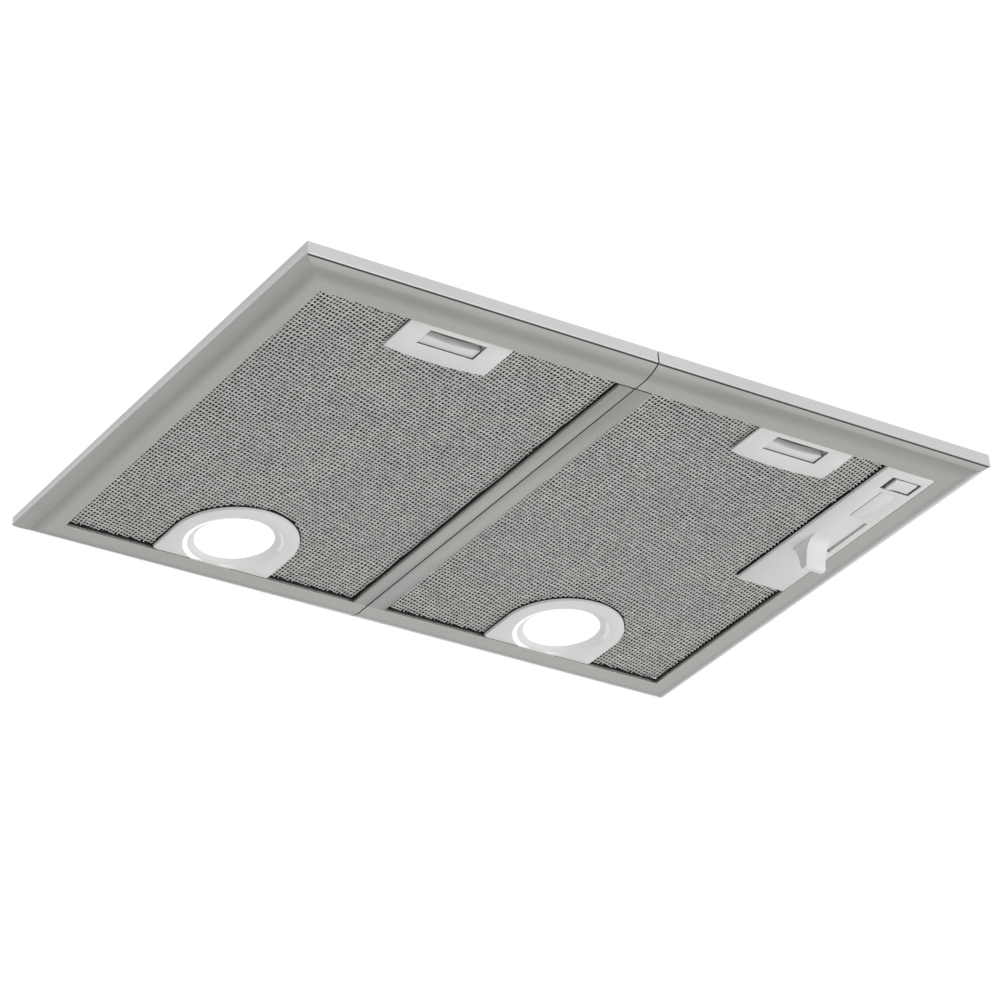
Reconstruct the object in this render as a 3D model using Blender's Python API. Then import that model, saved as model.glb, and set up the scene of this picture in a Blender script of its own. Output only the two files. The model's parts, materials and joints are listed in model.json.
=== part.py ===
"""Under cabinet range hood, 53 cm wide: a sheet metal housing that stands in the wall cabinet, a fan
and its outlet, and the trim frame with two grease filters, two lamps and the controls underneath.

Units are metres and +Z is up. The front faces -Y, the wall is at +Y, and +X is to the right as seen from
the front. Z = 0 is the plane of the cabinet's underside, where the housing's lips seat. The origin is on
the rear lip's top face, halfway along it.
"""
import math

import bmesh
import bpy
from mathutils import Matrix, Vector

GAP = 0.0003  # clearance between pieces that touch
SHEET = 0.0012  # thickness of sheet metal and thin mouldings

# Trim frame
RIM_LEFT, RIM_RIGHT = -0.267, 0.267
RIM_FRONT, RIM_REAR = -0.370, 0.010
RIM_BOTTOM = -0.014  # the flat underside
FRONT_FACE, REAR_FACE = 0.009, 0.0058  # height of the upright outer face
CURVE_SHARE = 0.68  # share of a rail's width that is curved
CURVE_STEPS = 8
FLANGE_TOP = -0.010  # top of the upright flange round each filter opening
LEDGE_TOP, LEDGE_SHARE = -0.0015, 0.2
SEAM_X, SEAM_GAP = -0.0053, 0.0010
OPEN_FRONT, OPEN_REAR = -0.3432, -0.0185
OPEN_LEFT = (-0.242, -0.0165)
OPEN_RIGHT = (0.0088, 0.2409)

RAIL_WIDTH = 0.0265  # average width of a rail, which turns a thickness into a share

# Housing
BOX_LEFT, BOX_RIGHT = -0.248, 0.248
BOX_FRONT, BOX_REAR = -0.355, -0.005
BOX_TOP = 0.165
LIP_INSET = 0.0017  # from the rim's outer face to the lip's edge
BEAM_INSET, BEAM_HEIGHT = 0.001, 0.012

# Fan and outlet
OUTLET_Y, OUTLET_TOP = -0.180, 0.241
OUTLET_RADIUS, OUTLET_WALL = 0.060, 0.0015
OUTLET_FLANGE, OUTLET_FLANGE_HEIGHT = 0.074, 0.002
FAN_Y, FAN_Z = -0.194, 0.080
SCROLL_HALF, SCROLL_START, SCROLL_GROWTH = 0.050, 0.064, 0.020
SCROLL_ANGLE, SCROLL_SWEEP, SCROLL_STEPS = 150, 210, 22  # degrees, degrees, count
CASING_WALL, INLET_RADIUS = 0.002, 0.050
WHEEL_RADIUS, WHEEL_HALF, WHEEL_RING = 0.059, 0.042, 0.002
BLADES, BLADE_DEPTH, BLADE_LEAN, BLADE_HALF = 24, 0.011, 0.06, 0.0006
DISC_THICKNESS, HUB_RADIUS, HUB_END = 0.001, 0.011, -0.014
MOTOR_RADIUS, MOTOR_START, MOTOR_END = 0.036, 0.004, 0.064
MOTOR_SIDES, MOTOR_CAP, MOTOR_CAP_INSET = 32, 0.008, 0.012
BRACKET_RING, BRACKET_DEPTH, BRACKET_ARMS = (0.051, 0.057), 0.003, 3
BRACKET_COLLAR, BRACKET_ARM = 0.003, (0.0026, 0.0175, 0.008)
SHAFT_RADIUS, SHAFT_END = 0.004, -0.018
FLAP_Z, FLAP_PIN_X, FLAP_PIN_RADIUS = 0.178, 0.0034, 0.0018
FLAP_CLEARANCE, FLAP_HALF, FLAP_STEPS = 0.0012, 0.0006, 20

# Filters
FILTER_GAP = 0.0007
MESH_Z = (-0.011, -0.010)
FRAME_Z = (-0.0097, -0.002)
FRAME_WIDTH = 0.006
HOOK_HALF, HOOK_REACH = 0.009, 0.0057
HOOKS_X = {"left": (-0.215, -0.045), "right": (0.035, 0.215)}

# Filter latches
LATCH_X = {"left": -0.1364, "right": 0.1342}
LATCH_HALF, LATCH_REAR, LATCH_BOW = 0.038, -0.3082, 0.003
LATCH_Z = (-0.013, -0.0113)
LATCH_SKIN_TOP = -0.0121  # the plate is thinner round the lever
LATCH_BOX_HALF, LATCH_BOX_REAR, LATCH_BOX_TOP = 0.031, -0.3086, -0.003
RECESS_HALF, RECESS_Y = 0.0212, (-0.3374, -0.3203)
LEVER_HALF, LEVER_Y, LEVER_HOLLOW = 0.0205, (-0.3300, -0.3206), 0.0020
LEVER_Z, WEB_Y, WEB_Z = (-0.0118, -0.0070), (-0.3248, -0.3173), (-0.0095, -0.0060)
BOLT_X, BOLT_HALF, BOLT_Y, BOLT_Z = 0.0255, 0.003, (-0.3420, -0.3198), (-0.0094, -0.0061)
BOLT_SLOT_Z = (-0.0100, -0.0055)
SPRING_Z, SPRING_WIRE, SPRING_RADIUS = -0.0077, 0.0003, 0.0022
SPRING_TURNS, SPRING_AROUND, SPRING_SIDES = 5, 12, 6

# Lamps
LAMP_X = {"left": -0.1312, "right": 0.1363}
LAMP_Y, BEZEL_RADIUS = -0.0499, 0.0449
BEZEL_Z = (-0.0135, -0.0070)
RING_RADIUS, LENS_RADIUS, LENS_Z = 0.0343, 0.0279, -0.0095
DISH_EDGE, LENS_SEAT, LENS_THICKNESS = 0.0028, 0.0014, 0.0018
CAN_RADIUS, CAN_TOP = 0.033, 0.038
BULB_PROFILE = [(0.0, 0.004), (0.020, 0.004), (0.024, 0.008), (0.017, 0.022), (0.010, 0.027),
                (0.010, 0.034), (0.0, 0.034)]  # radius and height
BULB_SIDES = 24

# Control panel in the right front corner
PANEL_X, PANEL_Y = (0.2010, 0.2406), (-0.3429, -0.1724)
PANEL_Z = (-0.0139, -0.0070)
PANEL_SKIN = 0.0016
ROCKER_CENTRE, ROCKER_HALF = (0.2245, -0.3260), (0.0095, 0.0062)
ROCKER_PIVOT_Z, ROCKER_TILT = -0.0100, math.radians(4)
ROCKER_PROFILE = [(-1.0, -0.0046), (0.0, -0.0038), (1.0, -0.0046), (0.9, 0.0), (0.28, 0.0022), (-0.28, 0.0022),
                  (-0.9, 0.0)]  # share of the half width, and height over the pivot
SWITCH_X, SWITCH_Y = (0.2127, 0.2363), (-0.3331, -0.3183)
SWITCH_Z, SWITCH_WELL_TOP, SWITCH_SIDE_ROOM = (-0.0136, 0.010), -0.0066, 0.0005
SLOT_X, SLOT_Y = (0.2320, 0.2355), (-0.2755, -0.2222)
PLATE_X, PLATE_Y = (0.2170, 0.2296), (-0.3140, -0.2790)
PLATE_POCKET, PLATE_THICKNESS, PLATE_GROOVE = 0.0008, 0.0005, 0.0007
KNOB_X, KNOB_FRONT, KNOB_BLADE_Y = (0.2104, 0.2267), -0.2520, -0.2372
KNOB_DROP, KNOB_EDGE, KNOB_RAMP, KNOB_STEPS = 0.0196, 0.0003, 0.0168, 9
KNOB_TIP = [(0.0004, 0.0186), (0.0022, 0.0196), (0.0052, 0.0193), (0.0066, 0.0178), (0.0074, 0.0130),
            (0.0088, 0.0072), (0.0107, 0.0030), (0.0134, 0.0)]  # behind the blade, and below the panel
ARM_BACK, ARM_DEPTH, ARM_OVERLAP = (0.0046, 0.0130), 0.0014, 0.001
STEM_Y, STEM_TOP = (-0.2312, -0.2232), -0.0105
SHUTTER_X, SHUTTER_Y, SHUTTER_THICKNESS = (0.2295, 0.2385), (-0.2776, -0.1815), 0.0016
SPEED_SWITCH_X, SPEED_SWITCH_Y, SPEED_SWITCH_TOP = (0.2275, 0.2390), (-0.2795, -0.2162), 0.008
CONTROL_BOX_TOP = 0.026

# Clamps that hold the housing in the cabinet
CLAMP_X, CLAMP_Y = 0.256, (-0.290, -0.095)
CLAMP_Z, CLAMP_HALF, CLAMP_LENGTH = (0.020, 0.024), 0.0052, 0.030
CLAMP_SCREW_RADIUS, CLAMP_SCREW_TOP = 0.002, 0.046
CLAMP_HEAD_RADIUS, CLAMP_HEAD = 0.0038, 0.003

# Wiring
GLAND_AT, GLAND_HOLE = (-0.200, -0.080, 0), 0.0065
GLAND_PROFILE = [(0.0045, 0.0), (0.011, 0.0), (0.011, 0.006), (0.0085, 0.007), (0.0085, 0.018),
                 (0.0045, 0.018)]  # radius, and height over the housing's top
TERMINAL_WIDTH, TERMINAL_Y, TERMINAL_Z, TERMINAL_WALL = 0.032, (-0.125, -0.045), (0.105, 0.155), 0.002
CAPACITOR_AT, CAPACITOR_RADIUS, CAPACITOR_LENGTH = (-0.115, -0.300), 0.016, 0.055

CUT_PAST = 0.01  # how far a cutter runs past the face it opens
ROUND = 48  # sides of a large round piece
SMALL_ROUND = 16
MERGE = 0.00001
SMOOTH_ANGLE = math.radians(32)

FINISHES = {
    "silver_paint": ((0.36, 0.36, 0.35), 0.42, 0.55),
    "zinc_sheet": ((0.52, 0.53, 0.54), 0.45, 0.9),
    "aluminium": ((0.62, 0.62, 0.61), 0.38, 0.9),
    "white_plastic": ((0.60, 0.60, 0.58), 0.45, 0.0),
    "grey_plastic": ((0.30, 0.31, 0.32), 0.55, 0.0),
    "black_plastic": ((0.03, 0.03, 0.03), 0.5, 0.0),
    "opal_glass": ((0.95, 0.95, 0.92), 0.3, 0.0),
    "steel": ((0.55, 0.55, 0.55), 0.3, 1.0),
}


def clear_scene():
    for obj in list(bpy.data.objects):
        bpy.data.objects.remove(obj, do_unlink=True)


def own_material(name, finish):
    colour, roughness, metallic = FINISHES[finish]
    material = bpy.data.materials.new(f"{name}_{finish}")
    material.use_nodes = True
    shader = material.node_tree.nodes["Principled BSDF"]
    shader.inputs["Base Color"].default_value = (*colour, 1.0)
    shader.inputs["Roughness"].default_value = roughness
    shader.inputs["Metallic"].default_value = metallic
    return material


def make_object(name, shape, finish=None, origin=(0, 0, 0)):
    """Turns a bmesh into an object whose origin is given; without a finish it is a cutter."""
    bmesh.ops.recalc_face_normals(shape, faces=shape.faces)
    bmesh.ops.translate(shape, verts=shape.verts, vec=-Vector(origin))
    mesh = bpy.data.meshes.new(name)
    shape.to_mesh(mesh)
    shape.free()
    obj = bpy.data.objects.new(name, mesh)
    obj.location = origin
    bpy.context.collection.objects.link(obj)
    if finish is None:
        obj.hide_render = True
        obj.display_type = "WIRE"
    else:
        mesh.materials.append(own_material(name, finish))
        mesh.shade_smooth()
        mesh.set_sharp_from_angle(angle=SMOOTH_ANGLE)
    return obj


def combine(obj, operation, shape, label):
    """Cuts the shape from the object, or joins it on, with a Boolean modifier that stays live."""
    helper = make_object(f"{obj.name}_{label}", shape)
    modifier = obj.modifiers.new(label, "BOOLEAN")
    modifier.operation = operation
    modifier.solver = "EXACT"
    modifier.object = helper
    return obj


def cut(obj, shape, label):
    return combine(obj, "DIFFERENCE", shape, label)


def join(obj, shape, label):
    return combine(obj, "UNION", shape, label)


def loft(sections, closed_path=False):
    """A solid through sections, each a closed ring of the same number of points."""
    shape = bmesh.new()
    rings = [[shape.verts.new(point) for point in section] for section in sections]
    pairs = list(zip(rings, rings[1:]))
    if closed_path:
        pairs.append((rings[-1], rings[0]))
    else:
        shape.faces.new(rings[0])
        shape.faces.new(rings[-1])
    for ring, following in pairs:
        for index in range(len(ring)):
            after = (index + 1) % len(ring)
            shape.faces.new((ring[index], ring[after], following[after], following[index]))
    return shape


def prism(outline, low, high, axis="Z"):
    """An outline extruded along an axis. Outlines are in XY for Z and in YZ for X."""
    def place(point, level):
        return (*point, level) if axis == "Z" else (level, *point)

    return loft([[place(point, low) for point in outline], [place(point, high) for point in outline]])


def block(x, y, z):
    return prism([(x[0], y[0]), (x[1], y[0]), (x[1], y[1]), (x[0], y[1])], *z)


def turned(profile, centre, sides=ROUND, axis="Z"):
    """A closed profile of (radius, height) turned round an axis through the centre."""
    turn = Matrix.Rotation(math.pi / 2, 4, "Y") if axis == "X" else Matrix.Identity(4)
    place = Matrix.Translation(centre) @ turn
    rings = []
    for index in range(sides):
        angle = 2 * math.pi * index / sides
        rings.append([place @ Vector((r * math.cos(angle), r * math.sin(angle), h)) for r, h in profile])
    return loft(rings, closed_path=True)


def rod(radius, low, high, centre, sides=ROUND, axis="Z"):
    """A plain cylinder. Along X, low and high are measured from the centre."""
    shape = bmesh.new()
    turn = Matrix.Rotation(math.pi / 2, 4, "Y") if axis == "X" else Matrix.Identity(4)
    if axis == "Y":
        turn = Matrix.Rotation(-math.pi / 2, 4, "X")
    place = Matrix.Translation(centre) @ turn @ Matrix.Translation((0, 0, (low + high) / 2))
    bmesh.ops.create_cone(shape, cap_ends=True, segments=sides, radius1=radius, radius2=radius,
                          depth=high - low, matrix=place)
    return shape


def cone(low_radius, high_radius, low, high, centre, sides=ROUND):
    shape = bmesh.new()
    place = Matrix.Translation(centre) @ Matrix.Translation((0, 0, (low + high) / 2))
    bmesh.ops.create_cone(shape, cap_ends=True, segments=sides, radius1=low_radius, radius2=high_radius,
                          depth=high - low, matrix=place)
    return shape


def arc(centre, radius, start, end, steps):
    """Points on an arc, from the start angle to the end angle in degrees."""
    angles = [math.radians(start + (end - start) * step / steps) for step in range(steps + 1)]
    return [(centre[0] + radius * math.cos(a), centre[1] + radius * math.sin(a)) for a in angles]


# ---------------------------------------------------------------- trim frame

def rail_profile(face):
    """The rail's closed section as (share of width, height): outer face, curved skin, inner flange, ledge."""
    def slope_share(share):
        return max(0.0, 1 - share / CURVE_SHARE)

    def lower(share):
        return -face + (RIM_BOTTOM + face) * (1 - slope_share(share) ** 2)

    def upper(share):
        steepness = 2 * (-RIM_BOTTOM - face) * slope_share(share) / (CURVE_SHARE * RAIL_WIDTH)
        return lower(share) + SHEET * math.hypot(1, steepness)

    wall = SHEET / RAIL_WIDTH
    shares = [CURVE_SHARE * step / CURVE_STEPS for step in range(1, CURVE_STEPS + 1)]
    outside = [(0, 0), (0, -face)] + [(share, lower(share)) for share in shares]
    flange = [(1, RIM_BOTTOM), (1, FLANGE_TOP), (1 - wall, FLANGE_TOP), (1 - wall, RIM_BOTTOM + SHEET)]
    inside = [(share, upper(share)) for share in reversed(shares)] + [(wall, upper(wall))]
    ledge = [(wall, LEDGE_TOP - SHEET), (LEDGE_SHARE, LEDGE_TOP - SHEET), (LEDGE_SHARE, LEDGE_TOP),
             (wall, LEDGE_TOP), (wall, 0)]
    return outside + flange + inside + ledge


def rail_section(outer, inner, face):
    return [(outer[0] + share * (inner[0] - outer[0]), outer[1] + share * (inner[1] - outer[1]), height)
            for share, height in rail_profile(face)]


def trim_half(side, seam, outer, inner):
    """Front rail, side rail and rear rail of one half, mitred at the corners."""
    sections = [
        rail_section((seam, RIM_FRONT), (seam, OPEN_FRONT), FRONT_FACE),
        rail_section((outer, RIM_FRONT), (inner, OPEN_FRONT), FRONT_FACE),
        rail_section((outer, RIM_REAR), (inner, OPEN_REAR), REAR_FACE),
        rail_section((seam, RIM_REAR), (seam, OPEN_REAR), REAR_FACE),
    ]
    make_object(f"trim_frame_{side}", loft(sections), "silver_paint")


def centre_strip(side, opening_edge, seam):
    """One half of the bar between the filters: a flat strip with an upright flange at the opening."""
    inward = math.copysign(SHEET, seam - opening_edge)
    flange = opening_edge + inward
    outline = [(opening_edge, RIM_BOTTOM), (seam, RIM_BOTTOM), (seam, RIM_BOTTOM + SHEET),
               (flange, RIM_BOTTOM + SHEET), (flange, FLANGE_TOP), (opening_edge, FLANGE_TOP)]
    ends = (OPEN_FRONT + SEAM_GAP, OPEN_REAR - GAP)
    make_object(f"centre_strip_{side}", loft([[(x, y, z) for x, z in outline] for y in ends]), "silver_paint")


def build_trim():
    left_seam, right_seam = SEAM_X - SEAM_GAP / 2, SEAM_X + SEAM_GAP / 2
    trim_half("left", left_seam, RIM_LEFT, OPEN_LEFT[0])
    trim_half("right", right_seam, RIM_RIGHT, OPEN_RIGHT[1])
    centre_strip("left", OPEN_LEFT[1], left_seam)
    centre_strip("right", OPEN_RIGHT[0], right_seam)


# ---------------------------------------------------------------- housing

def lip_panel(name, wall_line, lip_line):
    """An upright wall whose foot turns outwards into a lip, given its corners along the wall and the lip."""
    (a, b), (c, d) = wall_line, lip_line
    along = (Vector(b) - Vector(a)).normalized()
    out = Vector((along.y, -along.x))
    if (Vector(c) - Vector(a)).dot(out) < 0:
        out = -out
    inset = out * SHEET
    sections = []
    for wall, lip in ((Vector(a), Vector(c)), (Vector(b), Vector(d))):
        inner = wall - inset
        sections.append([(*inner, -SHEET), (*lip, -SHEET), (*lip, 0), (*wall, 0), (*wall, BOX_TOP - SHEET - GAP),
                         (*inner, BOX_TOP - SHEET - GAP)])
    return make_object(name, loft(sections), "zinc_sheet")


def build_housing():
    left, right = BOX_LEFT, BOX_RIGHT
    lip_left, lip_right = RIM_LEFT + LIP_INSET, RIM_RIGHT - LIP_INSET
    lip_front, lip_rear = RIM_FRONT + LIP_INSET, RIM_REAR - LIP_INSET
    corner = SHEET + GAP
    lip_panel("housing_front", ((left, BOX_FRONT), (right, BOX_FRONT)),
              ((left, lip_front), (right, lip_front)))
    lip_panel("housing_rear", ((left, BOX_REAR), (right, BOX_REAR)), ((left, lip_rear), (right, lip_rear)))
    sides = {"left": (left, lip_left), "right": (right, lip_right)}
    for side, (wall, lip) in sides.items():
        panel = lip_panel(f"housing_{side}", ((wall, BOX_FRONT + corner), (wall, BOX_REAR - corner)),
                          ((lip, BOX_FRONT + corner), (lip, BOX_REAR - corner)))
        for number, y in enumerate(CLAMP_Y):
            x = math.copysign(CLAMP_X, wall)
            hole = rod(CLAMP_SCREW_RADIUS + GAP, -CUT_PAST, CUT_PAST, (x, y, 0), SMALL_ROUND)
            cut(panel, hole, f"screw_hole_{number}")
    top = make_object("housing_top", block((left, right), (BOX_FRONT, BOX_REAR), (BOX_TOP - SHEET, BOX_TOP)),
                      "zinc_sheet")
    through = (BOX_TOP - CUT_PAST, BOX_TOP + CUT_PAST)
    cut(top, rod(OUTLET_RADIUS - CASING_WALL, *through, (0, OUTLET_Y, 0)), "outlet_hole")
    cut(top, rod(GLAND_HOLE, *through, GLAND_AT, SMALL_ROUND), "gland_hole")
    low = FLANGE_TOP + GAP
    beam_x = (OPEN_LEFT[1] + BEAM_INSET, OPEN_RIGHT[0] - BEAM_INSET)
    beam_y = (BOX_FRONT + SHEET * 2, BOX_REAR - SHEET * 2)
    beam = make_object("centre_beam", block(beam_x, beam_y, (low, low + BEAM_HEIGHT)), "zinc_sheet")
    trough = block((beam_x[0] + SHEET, beam_x[1] - SHEET), (beam_y[0] - CUT_PAST, beam_y[1] + CUT_PAST),
                   (low + SHEET, low + BEAM_HEIGHT + CUT_PAST))
    cut(beam, trough, "trough")


# ---------------------------------------------------------------- fan, motor and outlet

def scroll_outline(offset):
    """The fan casing's outline in YZ: a spiral under the wheel that opens into an upright duct."""
    points = []
    for step in range(SCROLL_STEPS + 1):
        share = step / SCROLL_STEPS
        angle = math.radians(SCROLL_ANGLE + SCROLL_SWEEP * share)
        radius = SCROLL_START + SCROLL_GROWTH * share - offset
        points.append((FAN_Y + radius * math.cos(angle), FAN_Z + radius * math.sin(angle)))
    top = BOX_TOP - SHEET - GAP + (CUT_PAST if offset else 0)
    return points + [(points[-1][0], top), (points[0][0], top)]


def build_fan_casing():
    for side, direction in (("left", -1), ("right", 1)):
        near, far = direction * GAP / 2, direction * SCROLL_HALF
        casing = make_object(f"fan_casing_{side}", prism(scroll_outline(0), *sorted((near, far)), axis="X"),
                             "grey_plastic")
        ends = sorted((near - direction * CUT_PAST, far - direction * CASING_WALL))
        cut(casing, prism(scroll_outline(CASING_WALL), *ends, axis="X"), "hollow")
        inlet = rod(INLET_RADIUS, -CUT_PAST, CUT_PAST, (far, FAN_Y, FAN_Z), axis="X")
        cut(casing, inlet, "inlet")


def wheel_blades(ends):
    """The leaning blades of one half of the fan wheel."""
    blades = bmesh.new()
    inner, outer = WHEEL_RADIUS - BLADE_DEPTH, WHEEL_RADIUS - BLADE_HALF
    for number in range(BLADES):
        angle = 2 * math.pi * number / BLADES
        corners = [(inner, angle - BLADE_LEAN), (outer, angle + BLADE_LEAN)]
        low, high = (Vector((FAN_Y + r * math.cos(a), FAN_Z + r * math.sin(a))) for r, a in corners)
        across = Vector((high.y - low.y, low.x - high.x)).normalized() * BLADE_HALF
        outline = [low + across, high + across, high - across, low - across]
        rings = [[blades.verts.new((x, *point)) for point in outline] for x in ends]
        blades.faces.new(rings[0])
        blades.faces.new(rings[1])
        for index in range(len(outline)):
            after = (index + 1) % len(outline)
            blades.faces.new((rings[0][index], rings[0][after], rings[1][after], rings[1][index]))
    return blades


def build_wheel():
    """The fan wheel in two halves back to back: each has a disc, blades and an end ring."""
    centre = (0, FAN_Y, FAN_Z)
    for side, direction in (("left", -1), ("right", 1)):
        near, far = direction * GAP / 2, direction * WHEEL_HALF
        disc_ends = sorted((near, near + direction * DISC_THICKNESS))
        root = near + direction * DISC_THICKNESS / 2
        wheel = make_object(f"fan_wheel_{side}", rod(WHEEL_RADIUS - WHEEL_RING, *disc_ends, centre, axis="X"),
                            "black_plastic", centre)
        join(wheel, wheel_blades((root, far)), "blades")
        ring = sorted((far + direction * BLADE_HALF, far - direction * WHEEL_RING))
        inner = WHEEL_RADIUS - BLADE_DEPTH + WHEEL_RING
        profile = [(inner, ring[0]), (WHEEL_RADIUS, ring[0]), (WHEEL_RADIUS, ring[1]), (inner, ring[1])]
        join(wheel, turned(profile, centre, axis="X"), "ring")
        if side == "left":
            join(wheel, rod(HUB_RADIUS, HUB_END, root, centre, MOTOR_SIDES, "X"), "hub")
        hole = rod(SHAFT_RADIUS + GAP, HUB_END - CUT_PAST, CUT_PAST, centre, MOTOR_SIDES, "X")
        cut(wheel, hole, "shaft_hole")
    shaft = rod(SHAFT_RADIUS, SHAFT_END, MOTOR_START - GAP, centre, MOTOR_SIDES, "X")
    make_object("motor_shaft", shaft, "steel", centre)


def build_motor():
    centre = Vector((0, FAN_Y, FAN_Z))
    profile = [(MOTOR_RADIUS - MOTOR_CAP_INSET, MOTOR_START), (MOTOR_RADIUS, MOTOR_START + MOTOR_CAP),
               (MOTOR_RADIUS, MOTOR_END - MOTOR_CAP), (MOTOR_RADIUS - MOTOR_CAP_INSET, MOTOR_END)]
    angles = [2 * math.pi * index / MOTOR_SIDES for index in range(MOTOR_SIDES)]
    sections = [[centre + Vector((x, radius * math.cos(a), radius * math.sin(a))) for a in angles]
                for radius, x in profile]
    make_object("fan_motor", loft(sections), "zinc_sheet")

    def flat_ring(inner, outer):
        low = SCROLL_HALF + GAP
        high = low + BRACKET_DEPTH
        return turned([(inner, low), (outer, low), (outer, high), (inner, high)], centre, axis="X")

    bracket = make_object("motor_bracket", flat_ring(*BRACKET_RING), "zinc_sheet")
    collar = MOTOR_RADIUS + GAP
    join(bracket, flat_ring(collar, collar + BRACKET_COLLAR), "collar")
    middle = (collar + BRACKET_RING[1]) / 2 - SHEET
    for number in range(BRACKET_ARMS):
        angle = math.pi / 2 + 2 * math.pi * number / BRACKET_ARMS
        arm = bmesh.new()
        place = (Matrix.Translation(centre + Vector((SCROLL_HALF + GAP + BRACKET_DEPTH / 2, 0, 0)))
                 @ Matrix.Rotation(angle, 4, "X") @ Matrix.Translation((0, middle, 0)))
        bmesh.ops.create_cube(arm, size=1.0, matrix=place @ Matrix.Diagonal((*BRACKET_ARM, 1)))
        join(bracket, arm, f"arm_{number}")


def build_outlet():
    low = BOX_TOP + GAP
    inside = OUTLET_RADIUS - OUTLET_WALL
    flange_top = low + OUTLET_FLANGE_HEIGHT
    profile = [(inside, low), (OUTLET_FLANGE, low), (OUTLET_FLANGE, flange_top), (OUTLET_RADIUS, flange_top),
               (OUTLET_RADIUS, OUTLET_TOP), (inside, OUTLET_TOP)]
    make_object("outlet_spigot", turned(profile, (0, OUTLET_Y, 0)), "grey_plastic")
    radius = inside - FLAP_CLEARANCE
    reach = math.sqrt(radius ** 2 - FLAP_PIN_X ** 2)
    edge = math.degrees(math.asin((FLAP_PIN_X + FLAP_HALF) / radius))
    for side, direction in (("left", -1), ("right", 1)):
        pin = (direction * FLAP_PIN_X, OUTLET_Y, FLAP_Z)
        start = -90 if direction > 0 else 90
        sweep = arc((0, OUTLET_Y), radius, start + edge, start + 180 - edge, FLAP_STEPS)
        flap = make_object(f"outlet_flap_{side}", prism(sweep, FLAP_Z - FLAP_HALF, FLAP_Z + FLAP_HALF),
                           "grey_plastic", pin)
        join(flap, rod(FLAP_PIN_RADIUS, -reach + SHEET, reach - SHEET, pin, SMALL_ROUND, "Y"), "barrel")


# ---------------------------------------------------------------- filters

def bezel_outline(x, offset, rear, steps=20):
    """A bezel seen from below: straight sides from the rear edge, then half a circle to the front."""
    radius = BEZEL_RADIUS + offset
    return arc((x, LAMP_Y), radius, 180, 360, steps) + [(x + radius, rear), (x - radius, rear)]


def filter_outline(side, inset):
    """A filter's outline with its cut-outs for the latch and the lamp; all edges move in by the inset."""
    opening = OPEN_LEFT if side == "left" else OPEN_RIGHT
    left, right = opening[0] + FILTER_GAP + inset, opening[1] - FILTER_GAP - inset
    front, rear = OPEN_FRONT + FILTER_GAP + inset, OPEN_REAR - FILTER_GAP - inset
    latch = LATCH_X[side]
    latch_half, latch_rear = LATCH_BOX_HALF + GAP + inset, LATCH_BOX_REAR + GAP + inset
    points = [(left, front), (latch - latch_half, front), (latch - latch_half, latch_rear),
              (latch + latch_half, latch_rear), (latch + latch_half, front)]
    if side == "right":
        panel_left, panel_rear = PANEL_X[0] - FILTER_GAP - inset, PANEL_Y[1] + FILTER_GAP + inset
        points += [(panel_left, front), (panel_left, panel_rear), (right, panel_rear)]
    else:
        points.append((right, front))
    notch = bezel_outline(LAMP_X[side], FILTER_GAP + inset, rear)
    half_circle = list(reversed(notch[:-2]))
    return points + [(right, rear), notch[-2]] + half_circle + [notch[-1], (left, rear)]


def ring_between(outer, inner, low, high):
    """A frame with a hole: two outlines of the same number of points, bridged."""
    def at(points, level):
        return [(x, y, level) for x, y in points]

    sections = [at(outer, low), at(outer, high), at(inner, high), at(inner, low)]
    return loft([list(section) for section in zip(*sections)], closed_path=True)


def build_filter(side):
    pivot_y, pivot_z = OPEN_REAR - FILTER_GAP, MESH_Z[0]
    opening = OPEN_LEFT if side == "left" else OPEN_RIGHT
    pivot = (sum(opening) / 2, pivot_y, pivot_z)
    frame = make_object(f"filter_frame_{side}",
                        ring_between(filter_outline(side, 0), filter_outline(side, FRAME_WIDTH), *FRAME_Z),
                        "aluminium", pivot)
    for number, x in enumerate(HOOKS_X[side]):
        hook = block((x - HOOK_HALF, x + HOOK_HALF), (pivot_y - 0.003, pivot_y + HOOK_REACH),
                     (FRAME_Z[0], FRAME_Z[0] + SHEET))
        join(frame, hook, f"hook_{number}")
    make_object(f"filter_mesh_{side}", prism(filter_outline(side, 0), *MESH_Z), "aluminium", pivot)
    make_object(f"filter_pad_{side}", prism(filter_outline(side, FRAME_WIDTH + GAP), FRAME_Z[0], -0.003),
                "aluminium", pivot)
    return pivot


def latch_outline(x):
    """The latch plate: straight at the front and sides, bowed to the rear."""
    steps = 12
    rear = []
    for step in range(steps + 1):
        share = 1 - 2 * step / steps
        rear.append((x + LATCH_HALF * share, LATCH_REAR + LATCH_BOW * (1 - share ** 2)))
    front = OPEN_FRONT + FILTER_GAP + GAP
    return [(x - LATCH_HALF, front), (x + LATCH_HALF, front)] + rear


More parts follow.
